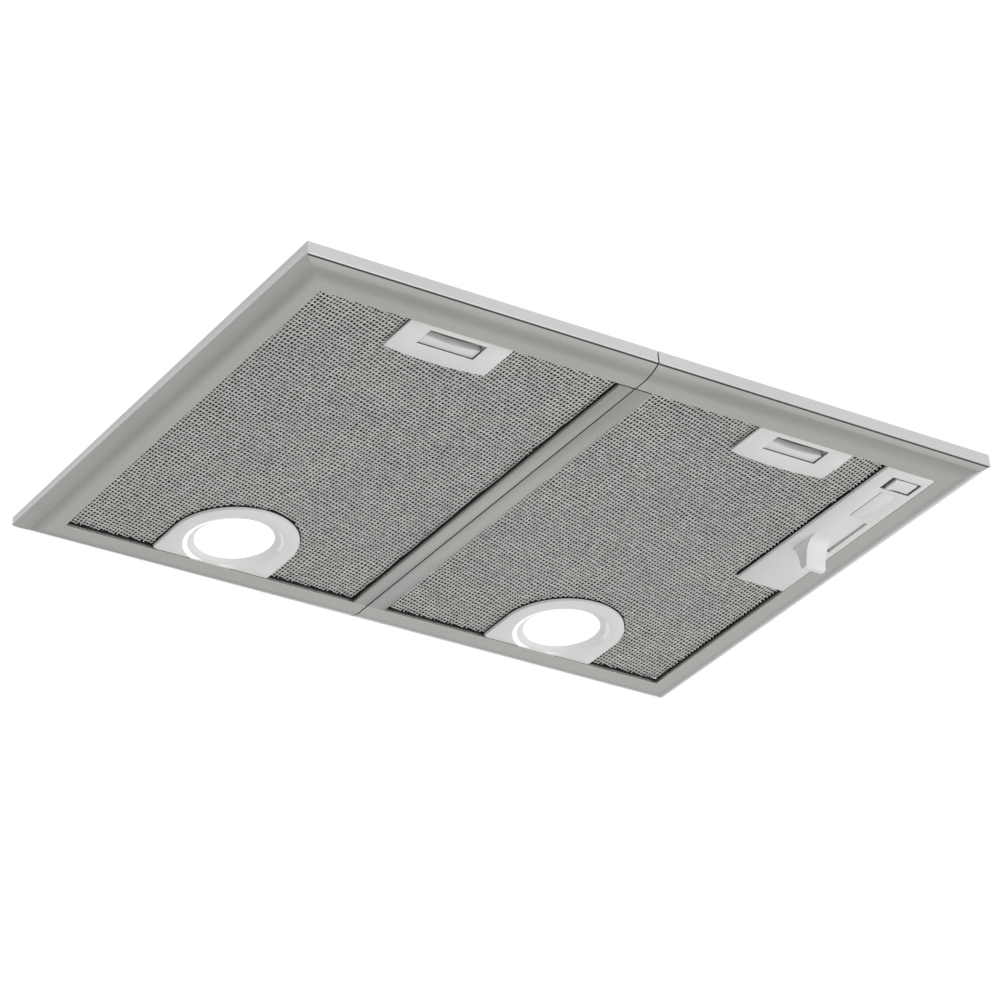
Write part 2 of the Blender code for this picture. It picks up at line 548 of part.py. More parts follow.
def build_latch(side, pivot):
    x = LATCH_X[side]
    front = OPEN_FRONT + FILTER_GAP + GAP
    plate = make_object(f"latch_plate_{side}", prism(latch_outline(x), *LATCH_Z), "white_plastic", pivot)
    box_x = (x - LATCH_BOX_HALF, x + LATCH_BOX_HALF)
    join(plate, block(box_x, (front, LATCH_BOX_REAR), (LATCH_Z[0] + GAP, LATCH_BOX_TOP)), "box")
    inner_x = (box_x[0] + SHEET, box_x[1] - SHEET)
    hollow = block(inner_x, (front + SHEET, LATCH_BOX_REAR - SHEET), (LATCH_SKIN_TOP, LATCH_BOX_TOP - SHEET))
    cut(plate, hollow, "hollow")
    recess = block((x - RECESS_HALF, x + RECESS_HALF), RECESS_Y, (LATCH_Z[0] - CUT_PAST, LATCH_SKIN_TOP + SHEET))
    cut(plate, recess, "recess")
    for label, middle in (("left_slot", x - BOLT_X), ("right_slot", x + BOLT_X)):
        slot = block((middle - BOLT_HALF - GAP, middle + BOLT_HALF + GAP), (front - CUT_PAST, front + SHEET * 2),
                     BOLT_SLOT_Z)
        cut(plate, slot, label)

    steps = 8
    nose = []
    for step in range(steps + 1):
        share = -1 + 2 * step / steps
        nose.append((x + LEVER_HALF * share, LEVER_Y[0] + LEVER_HOLLOW * (1 - share ** 2)))
    bar = nose + [(x + LEVER_HALF, LEVER_Y[1]), (x - LEVER_HALF, LEVER_Y[1])]
    origin = (x, LEVER_Y[1], LEVER_Z[0])
    lever = make_object(f"latch_slide_{side}", prism(bar, *LEVER_Z), "white_plastic", origin)
    reach = BOLT_X + BOLT_HALF
    join(lever, block((x - reach, x + reach), WEB_Y, WEB_Z), "web")
    for label, middle in (("left_bolt", x - BOLT_X), ("right_bolt", x + BOLT_X)):
        join(lever, block((middle - BOLT_HALF, middle + BOLT_HALF), BOLT_Y, BOLT_Z), label)
    make_spring(f"latch_spring_{side}", x, (WEB_Y[1] + GAP, LATCH_BOX_REAR - SHEET - GAP))


def make_spring(name, x, ends):
    """A small compression spring along Y, as a round wire wound on a helix with closed ends."""
    count = SPRING_TURNS * SPRING_AROUND
    start, end = ends[0] + SPRING_WIRE, ends[1] - SPRING_WIRE
    sections = []
    for step in range(count + 1):
        angle = 2 * math.pi * step / SPRING_AROUND
        outward = Vector((math.cos(angle), 0, math.sin(angle)))
        middle = Vector((x, start + (end - start) * step / count, SPRING_Z)) + outward * SPRING_RADIUS
        section = []
        for side in range(SPRING_SIDES):
            turn = 2 * math.pi * side / SPRING_SIDES
            along = Vector((0, SPRING_WIRE * math.sin(turn), 0))
            section.append(middle + outward * SPRING_WIRE * math.cos(turn) + along)
        sections.append(section)
    make_object(name, loft(sections), "steel")


# ---------------------------------------------------------------- lamps

def build_lamp(side):
    x = LAMP_X[side]
    centre = (x, LAMP_Y, 0)
    rear = OPEN_REAR - GAP
    bezel = make_object(f"lamp_bezel_{side}", prism(bezel_outline(x, 0, rear), *BEZEL_Z), "white_plastic")
    dish = cone(RING_RADIUS + DISH_EDGE, LENS_RADIUS, BEZEL_Z[0] - SHEET, LENS_Z, centre)
    cut(bezel, dish, "dish")
    cut(bezel, rod(LENS_RADIUS - GAP, LENS_Z - SHEET, CUT_PAST, centre), "light_hole")
    cut(bezel, rod(LENS_RADIUS + LENS_SEAT, LENS_Z, CUT_PAST, centre), "lens_seat")
    lens_low = LENS_Z + GAP
    lens = rod(LENS_RADIUS + LENS_SEAT - GAP, lens_low, lens_low + LENS_THICKNESS, centre)
    make_object(f"lamp_lens_{side}", lens, "opal_glass")
    flange = (BEZEL_Z[1] + GAP, BEZEL_Z[1] + GAP + SHEET)
    holder = make_object(f"lamp_holder_{side}",
                         prism(bezel_outline(x, -2 * SHEET, BOX_REAR - SHEET - GAP), *flange), "zinc_sheet")
    join(holder, rod(CAN_RADIUS, flange[0] + SHEET / 2, CAN_TOP, centre), "can")
    cut(holder, rod(CAN_RADIUS - SHEET, flange[0] - CUT_PAST, CAN_TOP - SHEET, centre), "inside")
    rings = []
    for index in range(BULB_SIDES):
        angle = 2 * math.pi * index / BULB_SIDES
        rings.append([(x + r * math.cos(angle), LAMP_Y + r * math.sin(angle), z) for r, z in BULB_PROFILE])
    shape = loft(rings, closed_path=True)
    bmesh.ops.remove_doubles(shape, verts=shape.verts, dist=MERGE)
    bmesh.ops.dissolve_degenerate(shape, dist=MERGE, edges=shape.edges)
    make_object(f"lamp_bulb_{side}", shape, "opal_glass")


# ---------------------------------------------------------------- controls

def grown(span, by):
    return span[0] - by, span[1] + by


def build_panel():
    panel = make_object("control_panel", block(PANEL_X, PANEL_Y, PANEL_Z), "white_plastic")
    inner_z = (PANEL_Z[0] + PANEL_SKIN, PANEL_Z[1] + CUT_PAST)
    cut(panel, block(grown(PANEL_X, -SHEET), grown(PANEL_Y, -SHEET), inner_z), "hollow")
    through = (PANEL_Z[0] - CUT_PAST, PANEL_Z[0] + 2 * PANEL_SKIN)
    cut(panel, block(grown(SWITCH_X, GAP), grown(SWITCH_Y, GAP), through), "switch_hole")
    cut(panel, block(SLOT_X, SLOT_Y, through), "slot")
    cut(panel, block(PLATE_X, PLATE_Y, (PANEL_Z[0] - CUT_PAST, PANEL_Z[0] + PLATE_POCKET)), "name_pocket")
    plate = block((PLATE_X[0] + PLATE_GROOVE, PLATE_X[1] - GAP), grown(PLATE_Y, -GAP),
                  (PANEL_Z[0], PANEL_Z[0] + PLATE_THICKNESS))
    make_object("name_plate_blank", plate, "white_plastic")


def build_rocker():
    """The light switch: a black body through the panel, and a light rocker in its well."""
    x, y = ROCKER_CENTRE
    half_x, half_y = ROCKER_HALF
    pivot = Vector((x, y, ROCKER_PIVOT_Z))
    shape = loft([[(share * half_x, end, height) for share, height in ROCKER_PROFILE]
                  for end in (-half_y, half_y)])
    bmesh.ops.rotate(shape, verts=shape.verts, matrix=Matrix.Rotation(-ROCKER_TILT, 3, "Y"))
    bmesh.ops.translate(shape, verts=shape.verts, vec=pivot)
    make_object("light_rocker", shape, "white_plastic", pivot)
    body = make_object("light_switch_body", block(SWITCH_X, SWITCH_Y, SWITCH_Z), "black_plastic")
    well_x = (x - half_x - SWITCH_SIDE_ROOM, x + half_x + SWITCH_SIDE_ROOM)
    well = block(well_x, (y - half_y - GAP, y + half_y + GAP), (SWITCH_Z[0] - CUT_PAST, SWITCH_WELL_TOP))
    cut(body, well, "well")


def build_slider():
    """The fan speed slider: a scooped blade under the panel, with an arm, a stem through the slot, and the
    strip that closes the slot behind it."""
    low = PANEL_Z[0] - GAP
    ramp = []
    length = KNOB_BLADE_Y - KNOB_FRONT
    for step in range(KNOB_STEPS + 1):
        share = step / KNOB_STEPS * 0.985
        ramp.append((KNOB_FRONT + length * share, low - KNOB_EDGE - KNOB_RAMP * (1 - math.sqrt(1 - share ** 3))))
    back = [(KNOB_BLADE_Y + behind, low - below) for behind, below in KNOB_TIP]
    slider = make_object("fan_slider", prism(ramp + back + [(KNOB_FRONT, low)], *KNOB_X, axis="X"),
                         "white_plastic", (KNOB_X[0], STEM_Y[1], low))
    arm_y = (KNOB_BLADE_Y + ARM_BACK[0], KNOB_BLADE_Y + ARM_BACK[1])
    arm = block((KNOB_X[1] - ARM_DEPTH, SLOT_X[1] + ARM_OVERLAP), arm_y, (low - ARM_DEPTH, low))
    join(slider, arm, "arm")
    stem_x = grown(SLOT_X, -GAP)
    join(slider, block(stem_x, STEM_Y, (low - ARM_DEPTH / 2, STEM_TOP)), "stem")
    shutter_low = PANEL_Z[0] + PANEL_SKIN + GAP
    shutter = block(SHUTTER_X, SHUTTER_Y, (shutter_low, shutter_low + SHUTTER_THICKNESS))
    join(slider, shutter, "shutter")
    body = block(SPEED_SWITCH_X, SPEED_SWITCH_Y, (PANEL_Z[1], SPEED_SWITCH_TOP))
    make_object("speed_switch_body", body, "black_plastic")


def build_control_box():
    """The cover over the switches, which also ties the panel to the housing's right wall."""
    low = PANEL_Z[1] + GAP
    x = (PANEL_X[0] + SHEET / 2, BOX_RIGHT - SHEET - GAP)
    y = (PANEL_Y[0] + 2 * SHEET, PANEL_Y[1] - SHEET)
    box = make_object("control_box", block(x, y, (low, CONTROL_BOX_TOP)), "grey_plastic")
    inner = block(grown(x, -SHEET), grown(y, -SHEET), (low - CUT_PAST, CONTROL_BOX_TOP - SHEET))
    cut(box, inner, "hollow")


# ---------------------------------------------------------------- wiring and clamps

def build_wiring():
    wall = BOX_LEFT + SHEET + GAP
    x = (wall, wall + TERMINAL_WIDTH)
    terminal = make_object("terminal_box", block(x, TERMINAL_Y, TERMINAL_Z), "grey_plastic")
    inner_y = (TERMINAL_Y[0] - CUT_PAST, TERMINAL_Y[1] - TERMINAL_WALL)
    cut(terminal, block(grown(x, -TERMINAL_WALL), inner_y, grown(TERMINAL_Z, -TERMINAL_WALL)), "hollow")
    ceiling = BOX_TOP - SHEET - GAP
    capacitor = rod(CAPACITOR_RADIUS, -CAPACITOR_LENGTH, 0.0, (*CAPACITOR_AT, ceiling), MOTOR_SIDES)
    make_object("motor_capacitor", capacitor, "white_plastic")
    profile = [(radius, BOX_TOP + GAP + height) for radius, height in GLAND_PROFILE]
    make_object("cable_gland", turned(profile, GLAND_AT, MOTOR_SIDES), "black_plastic")


def build_clamps():
    for side, direction in (("left", -1), ("right", 1)):
        for place, y in zip(("front", "rear"), CLAMP_Y):
            x = direction * CLAMP_X
            name = f"{side}_{place}"
            head = (-SHEET - GAP - CLAMP_HEAD, -SHEET - GAP)
            screw = make_object(f"clamp_screw_{name}", rod(CLAMP_HEAD_RADIUS, *head, (x, y, 0), SMALL_ROUND),
                                "steel")
            shank = rod(CLAMP_SCREW_RADIUS, head[0] + SHEET, CLAMP_SCREW_TOP, (x, y, 0), SMALL_ROUND)
            join(screw, shank, "shank")
            end = [(x + CLAMP_HALF, y + CLAMP_LENGTH), (x - CLAMP_HALF, y + CLAMP_LENGTH)]
            outline = arc((x, y), CLAMP_HALF, 180, 360, 10) + end
            arm = make_object(f"clamp_arm_{name}", prism(outline, *CLAMP_Z), "zinc_sheet", (x, y, CLAMP_Z[0]))
            bore = rod(CLAMP_SCREW_RADIUS + GAP, 0.0, CLAMP_Z[1] + CUT_PAST, (x, y, 0), SMALL_ROUND)
            cut(arm, bore, "bore")


def main():
    clear_scene()
    build_trim()
    build_housing()
    build_fan_casing()
    build_wheel()
    build_motor()
    build_outlet()
    for side in ("left", "right"):
        build_latch(side, build_filter(side))
        build_lamp(side)
    build_panel()
    build_rocker()
    build_slider()
    build_control_box()
    build_wiring()
    build_clamps()


main()
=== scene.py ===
"""Looks of the under cabinet range hood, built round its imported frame. Metres, +Z up, front at -Y."""

import json
import math

import bmesh
import bpy
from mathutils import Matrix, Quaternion, Vector, noise
from mathutils.bvhtree import BVHTree

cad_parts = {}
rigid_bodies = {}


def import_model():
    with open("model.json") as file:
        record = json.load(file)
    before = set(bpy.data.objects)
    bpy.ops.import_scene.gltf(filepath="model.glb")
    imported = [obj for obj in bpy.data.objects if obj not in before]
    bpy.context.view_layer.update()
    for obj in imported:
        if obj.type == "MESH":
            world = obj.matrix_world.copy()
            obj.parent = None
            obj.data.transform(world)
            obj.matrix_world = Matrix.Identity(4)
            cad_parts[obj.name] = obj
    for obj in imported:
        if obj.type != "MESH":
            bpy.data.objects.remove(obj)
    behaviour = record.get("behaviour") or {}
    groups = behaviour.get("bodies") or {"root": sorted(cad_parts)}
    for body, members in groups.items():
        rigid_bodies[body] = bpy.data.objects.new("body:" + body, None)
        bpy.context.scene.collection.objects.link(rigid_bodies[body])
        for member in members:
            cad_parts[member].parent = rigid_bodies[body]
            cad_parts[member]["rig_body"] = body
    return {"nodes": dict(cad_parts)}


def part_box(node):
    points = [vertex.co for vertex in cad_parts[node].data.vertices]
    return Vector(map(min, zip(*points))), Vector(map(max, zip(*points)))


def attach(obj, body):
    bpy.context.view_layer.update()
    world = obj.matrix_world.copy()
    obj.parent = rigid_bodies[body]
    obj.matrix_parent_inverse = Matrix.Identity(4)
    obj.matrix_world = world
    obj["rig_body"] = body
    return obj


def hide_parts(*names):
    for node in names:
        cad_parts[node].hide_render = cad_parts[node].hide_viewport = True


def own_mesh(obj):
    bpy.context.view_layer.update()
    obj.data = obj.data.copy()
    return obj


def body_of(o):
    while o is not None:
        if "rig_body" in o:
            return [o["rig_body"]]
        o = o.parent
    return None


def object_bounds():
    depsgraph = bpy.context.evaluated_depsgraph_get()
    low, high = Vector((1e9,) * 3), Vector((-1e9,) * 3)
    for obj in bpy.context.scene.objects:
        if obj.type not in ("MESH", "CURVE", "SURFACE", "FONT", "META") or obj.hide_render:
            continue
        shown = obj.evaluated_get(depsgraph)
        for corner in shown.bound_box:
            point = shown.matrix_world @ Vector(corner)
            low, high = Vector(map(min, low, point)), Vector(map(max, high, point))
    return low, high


bl_info = {
    "name": "Range hood looks",
    "version": (1, 0, 0),
    "blender": (4, 5, 0),
    "location": "3D View > Sidebar > Hood",
    "description": "Adds the fine surfaces, materials and stage of a built-in range hood",
    "category": "Object",
}

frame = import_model()
CAD_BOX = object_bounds()
SIDES = ("left", "right")
CORNERS = [f"{side}_{place}" for side in SIDES for place in ("front", "rear")]
TO_LEFT, TO_RIGHT, TO_FRONT, TO_REAR = (0, -1), (0, 1), (1, -1), (1, 1)
UPRIGHT = 0.2


# ---------------------------------------------------------------- settings

class HoodFinish(bpy.types.PropertyGroup):
    """Colours and edges of the hood's own pieces."""

    rim_colour: bpy.props.FloatVectorProperty(
        name="Rim paint", description="Silver grey lacquer of the trim frame",
        default=(0.40, 0.402, 0.388), size=3, subtype="COLOR")
    plastic_colour: bpy.props.FloatVectorProperty(
        name="Light plastic", description="Latch plates, bezels, panel and slider",
        default=(0.655, 0.655, 0.65), size=3, subtype="COLOR")
    mesh_colour: bpy.props.FloatVectorProperty(
        name="Filter metal", description="Aluminium of the filter mesh",
        default=(0.57, 0.57, 0.56), size=3, subtype="COLOR")
    edge_round: bpy.props.FloatProperty(
        name="Edge rounding", description="Radius on the edges of sheet and moulded pieces",
        default=0.00035, unit="LENGTH")
    lamp_strength: bpy.props.FloatProperty(
        name="Lamp strength", description="Emission of the two lamp lenses", default=0.62)


class HoodMesh(bpy.types.PropertyGroup):
    """The filters' knitted face."""

    row_pitch: bpy.props.FloatProperty(
        name="Row pitch", description="Distance between holes from front to rear", default=0.0036,
        unit="LENGTH")
    column_pitch: bpy.props.FloatProperty(
        name="Column pitch", description="Distance between columns of holes", default=0.00285,
        unit="LENGTH")
    column_step: bpy.props.FloatProperty(
        name="Column step", description="How far each column is set back from the one before",
        default=0.0008, unit="LENGTH")
    hole_share: bpy.props.FloatProperty(
        name="Hole size", description="Hole's share of its cell's width", default=0.68)
    relief: bpy.props.FloatProperty(
        name="Relief", description="Height between the strands' high and low crossings", default=0.00070,
        unit="LENGTH")
    wander: bpy.props.FloatProperty(
        name="Wander", description="How far the rows stray from straight", default=0.0016, unit="LENGTH")


class HoodStage(bpy.types.PropertyGroup):
    """Camera, floor and light."""

    camera_place: bpy.props.FloatVectorProperty(
        name="Camera place", description="Where the camera stands", default=(-1.4502, -2.2200, -1.4689),
        size=3, subtype="TRANSLATION", unit="LENGTH")
    camera_turn: bpy.props.FloatProperty(
        name="Camera turn", description="Compass turn of the view to the right of +Y",
        default=math.radians(35.385), subtype="ANGLE")
    camera_lift: bpy.props.FloatProperty(
        name="Camera lift", description="How steeply the camera looks up", default=math.radians(30.228),
        subtype="ANGLE")
    camera_roll: bpy.props.FloatProperty(
        name="Camera roll", description="Tilt of the camera about its view", default=math.radians(-3.654),
        subtype="ANGLE")
    lens_mm: bpy.props.FloatProperty(name="Lens", description="Focal length in millimetres", default=156.09)
    floor_level: bpy.props.FloatProperty(
        name="Floor level", description="Height of the studio floor", default=-3.6, unit="LENGTH")
    sky_light: bpy.props.FloatProperty(
        name="Studio light", description="Strength of the studio's even light", default=1.27)
    left_share: bpy.props.FloatProperty(
        name="Light from the left", description="Share of the light that the left side gives", default=0.58)
    panel_side: bpy.props.FloatVectorProperty(
        name="Bright wall", description="Direction of the pale wall that the underside mirrors",
        default=(0.503, 0.704, -0.501), size=3, subtype="DIRECTION")


# ---------------------------------------------------------------- node helpers

def start_material(name):
    material = bpy.data.materials.new(name)
    material.use_nodes = True
    return material, material.node_tree, material.node_tree.nodes["Principled BSDF"]


def add_node(tree, kind, **values):
    """A node with its inputs or properties set by name."""
    node = tree.nodes.new(kind)
    for name, value in values.items():
        label = name.replace("_", " ").title()
        if label in node.inputs:
            node.inputs[label].default_value = value
        else:
            setattr(node, name, value)
    return node


def pattern(tree, kind, scale, **values):
    """A texture that reads the piece's own coordinates, so it stays put when the piece moves."""
    place = add_node(tree, "ShaderNodeTexCoord")
    texture = add_node(tree, kind, scale=scale, **values)
    tree.links.new(place.outputs["Object"], texture.inputs["Vector"])
    return texture


def shades(tree, source, low, high, start=0.0, end=1.0):
    """Turns a value into a colour between two shades."""
    ramp = add_node(tree, "ShaderNodeValToRGB")
    ramp.color_ramp.elements[0].position = start
    ramp.color_ramp.elements[0].color = (*low, 1)
    ramp.color_ramp.elements[1].position = end
    ramp.color_ramp.elements[1].color = (*high, 1)
    tree.links.new(source, ramp.inputs["Fac"])
    return ramp.outputs["Color"]


def grey(tone):
    return (tone, tone, tone)


def scaled(colour, factor):
    return tuple(min(1.0, channel * factor) for channel in colour)


def multiplied(tree, one, other):
    """One colour times another."""
    blend = add_node(tree, "ShaderNodeMixRGB", blend_type="MULTIPLY")
    blend.inputs["Fac"].default_value = 1.0
    tree.links.new(one, blend.inputs["Color1"])
    tree.links.new(other, blend.inputs["Color2"])
    return blend.outputs["Color"]


def span(tree, source, **limits):
    """Maps a value from one range to another. A range that isn't given runs from 0 to 1."""
    node = add_node(tree, "ShaderNodeMapRange", **limits)
    tree.links.new(source, node.inputs["Value"])
    return node.outputs["Result"]


def gloss(tree, source, low, high):
    """A roughness that follows a pattern between two limits."""
    return span(tree, source, to_min=low, to_max=high)


def relief(tree, shader, sources):
    """Adds bumps one on the other: each source is (value, strength, height in metres)."""
    normal = None
    for source, strength, height in sources:
        bump = add_node(tree, "ShaderNodeBump", strength=strength, distance=height)
        tree.links.new(source, bump.inputs["Height"])
        if normal:
            tree.links.new(normal, bump.inputs["Normal"])
        normal = bump.outputs["Normal"]
    tree.links.new(normal, shader.inputs["Normal"])


def dress(tree, shader, base, roughness, bumps, metallic=0.0):
    """Gives a shader its colour, roughness, metallic value and bumps."""
    tree.links.new(base, shader.inputs["Base Color"])
    tree.links.new(roughness, shader.inputs["Roughness"])
    shader.inputs["Metallic"].default_value = metallic
    relief(tree, shader, bumps)


# ---------------------------------------------------------------- finishes

def rim_paint(finish):
    """Satin silver lacquer: fine metal flake, faint orange peel and slow changes of tone."""
    material, tree, shader = start_material("rim_paint")
    colour = tuple(finish.rim_colour)
    tone = pattern(tree, "ShaderNodeTexNoise", 9.0, detail=3.0)
    flake = pattern(tree, "ShaderNodeTexVoronoi", 2600.0)
    peel = pattern(tree, "ShaderNodeTexNoise", 420.0, detail=2.0)
    base = shades(tree, tone.outputs["Fac"], scaled(colour, 0.96), scaled(colour, 1.03), 0.3, 0.7)
    spark = shades(tree, flake.outputs["Distance"], grey(1.02), grey(0.97), 0.0, 0.6)
    bumps = [(peel.outputs["Fac"], 0.12, 0.0002), (flake.outputs["Distance"], 0.05, 0.00005)]
    dress(tree, shader, multiplied(tree, base, spark), gloss(tree, tone.outputs["Fac"], 0.24, 0.31), bumps,
          metallic=0.65)
    return material


def moulded_plastic(name, colour, roughness=0.42, grain=0.10):
    """Moulded plastic with a fine spark-eroded grain and a faint change of gloss."""
    material, tree, shader = start_material(name)
    tone = pattern(tree, "ShaderNodeTexNoise", 22.0, detail=3.0)
    fine = pattern(tree, "ShaderNodeTexNoise", 1900.0, detail=2.0)
    base = shades(tree, tone.outputs["Fac"], scaled(colour, 0.975), scaled(colour, 1.02), 0.3, 0.7)
    shader.inputs["IOR"].default_value = 1.5
    dress(tree, shader, base, gloss(tree, tone.outputs["Fac"], roughness - 0.04, roughness + 0.05),
          [(fine.outputs["Fac"], grain, 0.00012)])
    return material


def zinc_sheet():
    """Galvanised sheet: zinc crystals that differ in tone and gloss, with light scuffs."""
    material, tree, shader = start_material("zinc_sheet")
    crystal = pattern(tree, "ShaderNodeTexVoronoi", 130.0, randomness=1.0)
    scuff = pattern(tree, "ShaderNodeTexNoise", 14.0, detail=6.0, roughness=0.65)
    split = add_node(tree, "ShaderNodeSeparateColor")
    tree.links.new(crystal.outputs["Color"], split.inputs["Color"])
    tone = shades(tree, split.outputs["Red"], (0.43, 0.44, 0.45), (0.52, 0.53, 0.54))
    wear = shades(tree, scuff.outputs["Fac"], grey(0.86), grey(1.0), 0.35, 0.6)
    bumps = [(split.outputs["Blue"], 0.06, 0.0002), (scuff.outputs["Fac"], 0.05, 0.0004)]
    dress(tree, shader, multiplied(tree, tone, wear), gloss(tree, split.outputs["Green"], 0.34, 0.52), bumps,
          metallic=0.85)
    return material


def filter_metal(finish):
    """Bare aluminium strands, dulled a little from one to the next."""
    material, tree, shader = start_material("filter_metal")
    colour = tuple(finish.mesh_colour)
    strand = pattern(tree, "ShaderNodeTexNoise", 260.0, detail=2.0)
    broad = pattern(tree, "ShaderNodeTexNoise", 20.0, detail=2.0)
    fine = pattern(tree, "ShaderNodeTexNoise", 1500.0, detail=1.0)
    tone = shades(tree, strand.outputs["Fac"], scaled(colour, 0.90), scaled(colour, 1.20), 0.35, 0.65)
    soft = shades(tree, broad.outputs["Fac"], grey(0.95), (1.04, 1.04, 1.03), 0.3, 0.7)
    dress(tree, shader, multiplied(tree, tone, soft), gloss(tree, strand.outputs["Fac"], 0.30, 0.48),
          [(fine.outputs["Fac"], 0.15, 0.0001)], metallic=0.8)
    return material


def pad_painted_shade():
    """The filter's inner layers, near-black as painted shade for their depth behind the mesh: crossed strands
    with dark gaps.
    """
    material, tree, shader = start_material("pad_painted_shade")
    cells = pattern(tree, "ShaderNodeTexVoronoi", 330.0, feature="DISTANCE_TO_EDGE")
    loose = pattern(tree, "ShaderNodeTexNoise", 120.0, detail=4.0)
    tone = shades(tree, cells.outputs["Distance"], (0.09, 0.09, 0.088), grey(0.006), 0.03, 0.30)
    dress(tree, shader, tone, gloss(tree, loose.outputs["Fac"], 0.45, 0.65),
          [(cells.outputs["Distance"], 0.5, 0.0012)], metallic=0.6)
    return material


def drawn_metal(name, colour, roughness, grain_scale):
    """Plain worked metal with a fine directional grain."""
    material, tree, shader = start_material(name)
    place = add_node(tree, "ShaderNodeTexCoord")
    stretch = add_node(tree, "ShaderNodeMapping", scale=(1.0, 1.0, 0.08))
    grain = add_node(tree, "ShaderNodeTexNoise", scale=grain_scale, detail=3.0)
    tree.links.new(place.outputs["Object"], stretch.inputs["Vector"])
    tree.links.new(stretch.outputs["Vector"], grain.inputs["Vector"])
    tone = shades(tree, grain.outputs["Fac"], scaled(colour, 0.88), scaled(colour, 1.06), 0.3, 0.7)
    dress(tree, shader, tone, gloss(tree, grain.outputs["Fac"], roughness - 0.06, roughness + 0.08),
          [(grain.outputs["Fac"], 0.08, 0.0001)], metallic=0.95)
    return material


def threaded_steel():
    """Plated screws: the thread is a fine ridge round the shank."""
    material, tree, shader = start_material("threaded_steel")
    thread = pattern(tree, "ShaderNodeTexWave", 160.0, wave_type="BANDS", bands_direction="Z")
    dull = pattern(tree, "ShaderNodeTexNoise", 300.0, detail=2.0)
    tone = shades(tree, dull.outputs["Fac"], (0.50, 0.49, 0.44), (0.66, 0.65, 0.60), 0.3, 0.7)
    dress(tree, shader, tone, gloss(tree, dull.outputs["Fac"], 0.25, 0.4),
          [(thread.outputs["Fac"], 0.6, 0.0004)], metallic=1.0)
    return material


def lamp_glass(finish):
    """Opal glass, lit from behind, with the fine ribs of a diffuser."""
    material, tree, shader = start_material("lamp_glass")
    ribs = pattern(tree, "ShaderNodeTexVoronoi", 900.0)
    glow = pattern(tree, "ShaderNodeTexNoise", 60.0, detail=1.0)
    tone = shades(tree, glow.outputs["Fac"], (0.97, 0.97, 0.95), (1.0, 1.0, 0.985), 0.3, 0.7)
    tree.links.new(tone, shader.inputs["Emission Color"])
    shader.inputs["Emission Strength"].default_value = finish.lamp_strength
    dress(tree, shader, tone, gloss(tree, glow.outputs["Fac"], 0.22, 0.30),
          [(ribs.outputs["Distance"], 0.10, 0.0002)])
    return material


def glowing_plastic(name, colour, strength):
    """Moulded plastic with painted light: it glows by emission, by the share in the piece's glow attribute,
    for the lamp's light falling on it.
    """
    material = moulded_plastic(name, colour)
    tree = material.node_tree
    shader = tree.nodes["Principled BSDF"]
    glow = pattern(tree, "ShaderNodeTexNoise", 30.0, detail=1.0)
    tree.links.new(shades(tree, glow.outputs["Fac"], (0.98, 0.98, 0.96), (1.0, 1.0, 0.99)),
                   shader.inputs["Emission Color"])
    share = add_node(tree, "ShaderNodeAttribute", attribute_name="glow")
    power = add_node(tree, "ShaderNodeMath", operation="MULTIPLY")
    power.inputs[1].default_value = strength
    tree.links.new(share.outputs["Fac"], power.inputs[0])
    tree.links.new(power.outputs["Value"], shader.inputs["Emission Strength"])
    return material


def make_finishes():
    """Every material once, by the name that the pieces use."""
    finish = bpy.context.scene.hood_finish
    plastic = tuple(finish.plastic_colour)
    return {
        "rim_paint": rim_paint(finish),
        "light_plastic": moulded_plastic("light_plastic", plastic),
        "grey_plastic": moulded_plastic("grey_plastic", (0.24, 0.25, 0.26), 0.5, 0.2),
        "black_plastic": moulded_plastic("black_plastic", (0.012, 0.012, 0.013), 0.45, 0.2),
        "zinc_sheet": zinc_sheet(),
        "filter_metal": filter_metal(finish),
        "pad_painted_shade": pad_painted_shade(),
        "frame_metal": drawn_metal("frame_metal", (0.66, 0.66, 0.65), 0.34, 700.0),
        "steel": drawn_metal("steel", (0.58, 0.58, 0.57), 0.28, 900.0),
        "threaded_steel": threaded_steel(),
        "lamp_glass": lamp_glass(finish),
        "painted_lamp_light": glowing_plastic("painted_lamp_light", plastic, 0.36),
        # Near-black: painted shade, put on upright faces beside the openings that lie in shade.
        "shadow_gap": moulded_plastic("shadow_gap", grey(0.010), 0.7, 0.1),
        # Dark grey: painted shade in the groove along the rim's front edge.
        "groove_shade": moulded_plastic("groove_shade", (0.075, 0.08, 0.082), 0.5, 0.1),
    }


FINISHES = {}


def finish_named(name):
    if not FINISHES:
        FINISHES.update(make_finishes())
    return FINISHES[name]


# ---------------------------------------------------------------- modelling helpers

def make_active(piece):
    """Leaves this piece alone selected and active."""
    bpy.ops.object.select_all(action="DESELECT")
    piece.select_set(True)
    bpy.context.view_layer.objects.active = piece


def settle(piece, node, material):
    """Names the piece that stands for a node, gives it its finish, and ties it to the frame."""
    piece.name = piece.data.name = f"{node}_finish"
    piece.data.materials.clear()
    piece.data.materials.append(finish_named(material))
    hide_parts(node)
    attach(piece, body_of(frame["nodes"][node])[0])
    return piece


def edit(piece):
    """Enters edit mode with all of the piece selected."""
    make_active(piece)
    bpy.ops.object.mode_set(mode="EDIT")
    bpy.ops.mesh.select_all(action="SELECT")


def close_shape():
    """Turns all faces outwards and leaves edit mode."""
    bpy.ops.mesh.select_all(action="SELECT")
    bpy.ops.mesh.normals_make_consistent(inside=False)
    bpy.ops.object.mode_set(mode="OBJECT")


def split_at(piece, height):
    """Cuts the faces of a piece in two at a height, so that each part can have its own finish."""
    edit(piece)
    bpy.ops.mesh.bisect(plane_co=(0, 0, height), plane_no=(0, 0, 1))
    bpy.ops.object.mode_set(mode="OBJECT")


def also_finish(piece, material, chosen):
    """Gives the faces that chosen(centre, normal) picks a second finish."""
    piece.data.materials.append(finish_named(material))
    index = len(piece.data.materials) - 1
    for face in piece.data.polygons:
        if chosen(face.center, face.normal):
            face.material_index = index


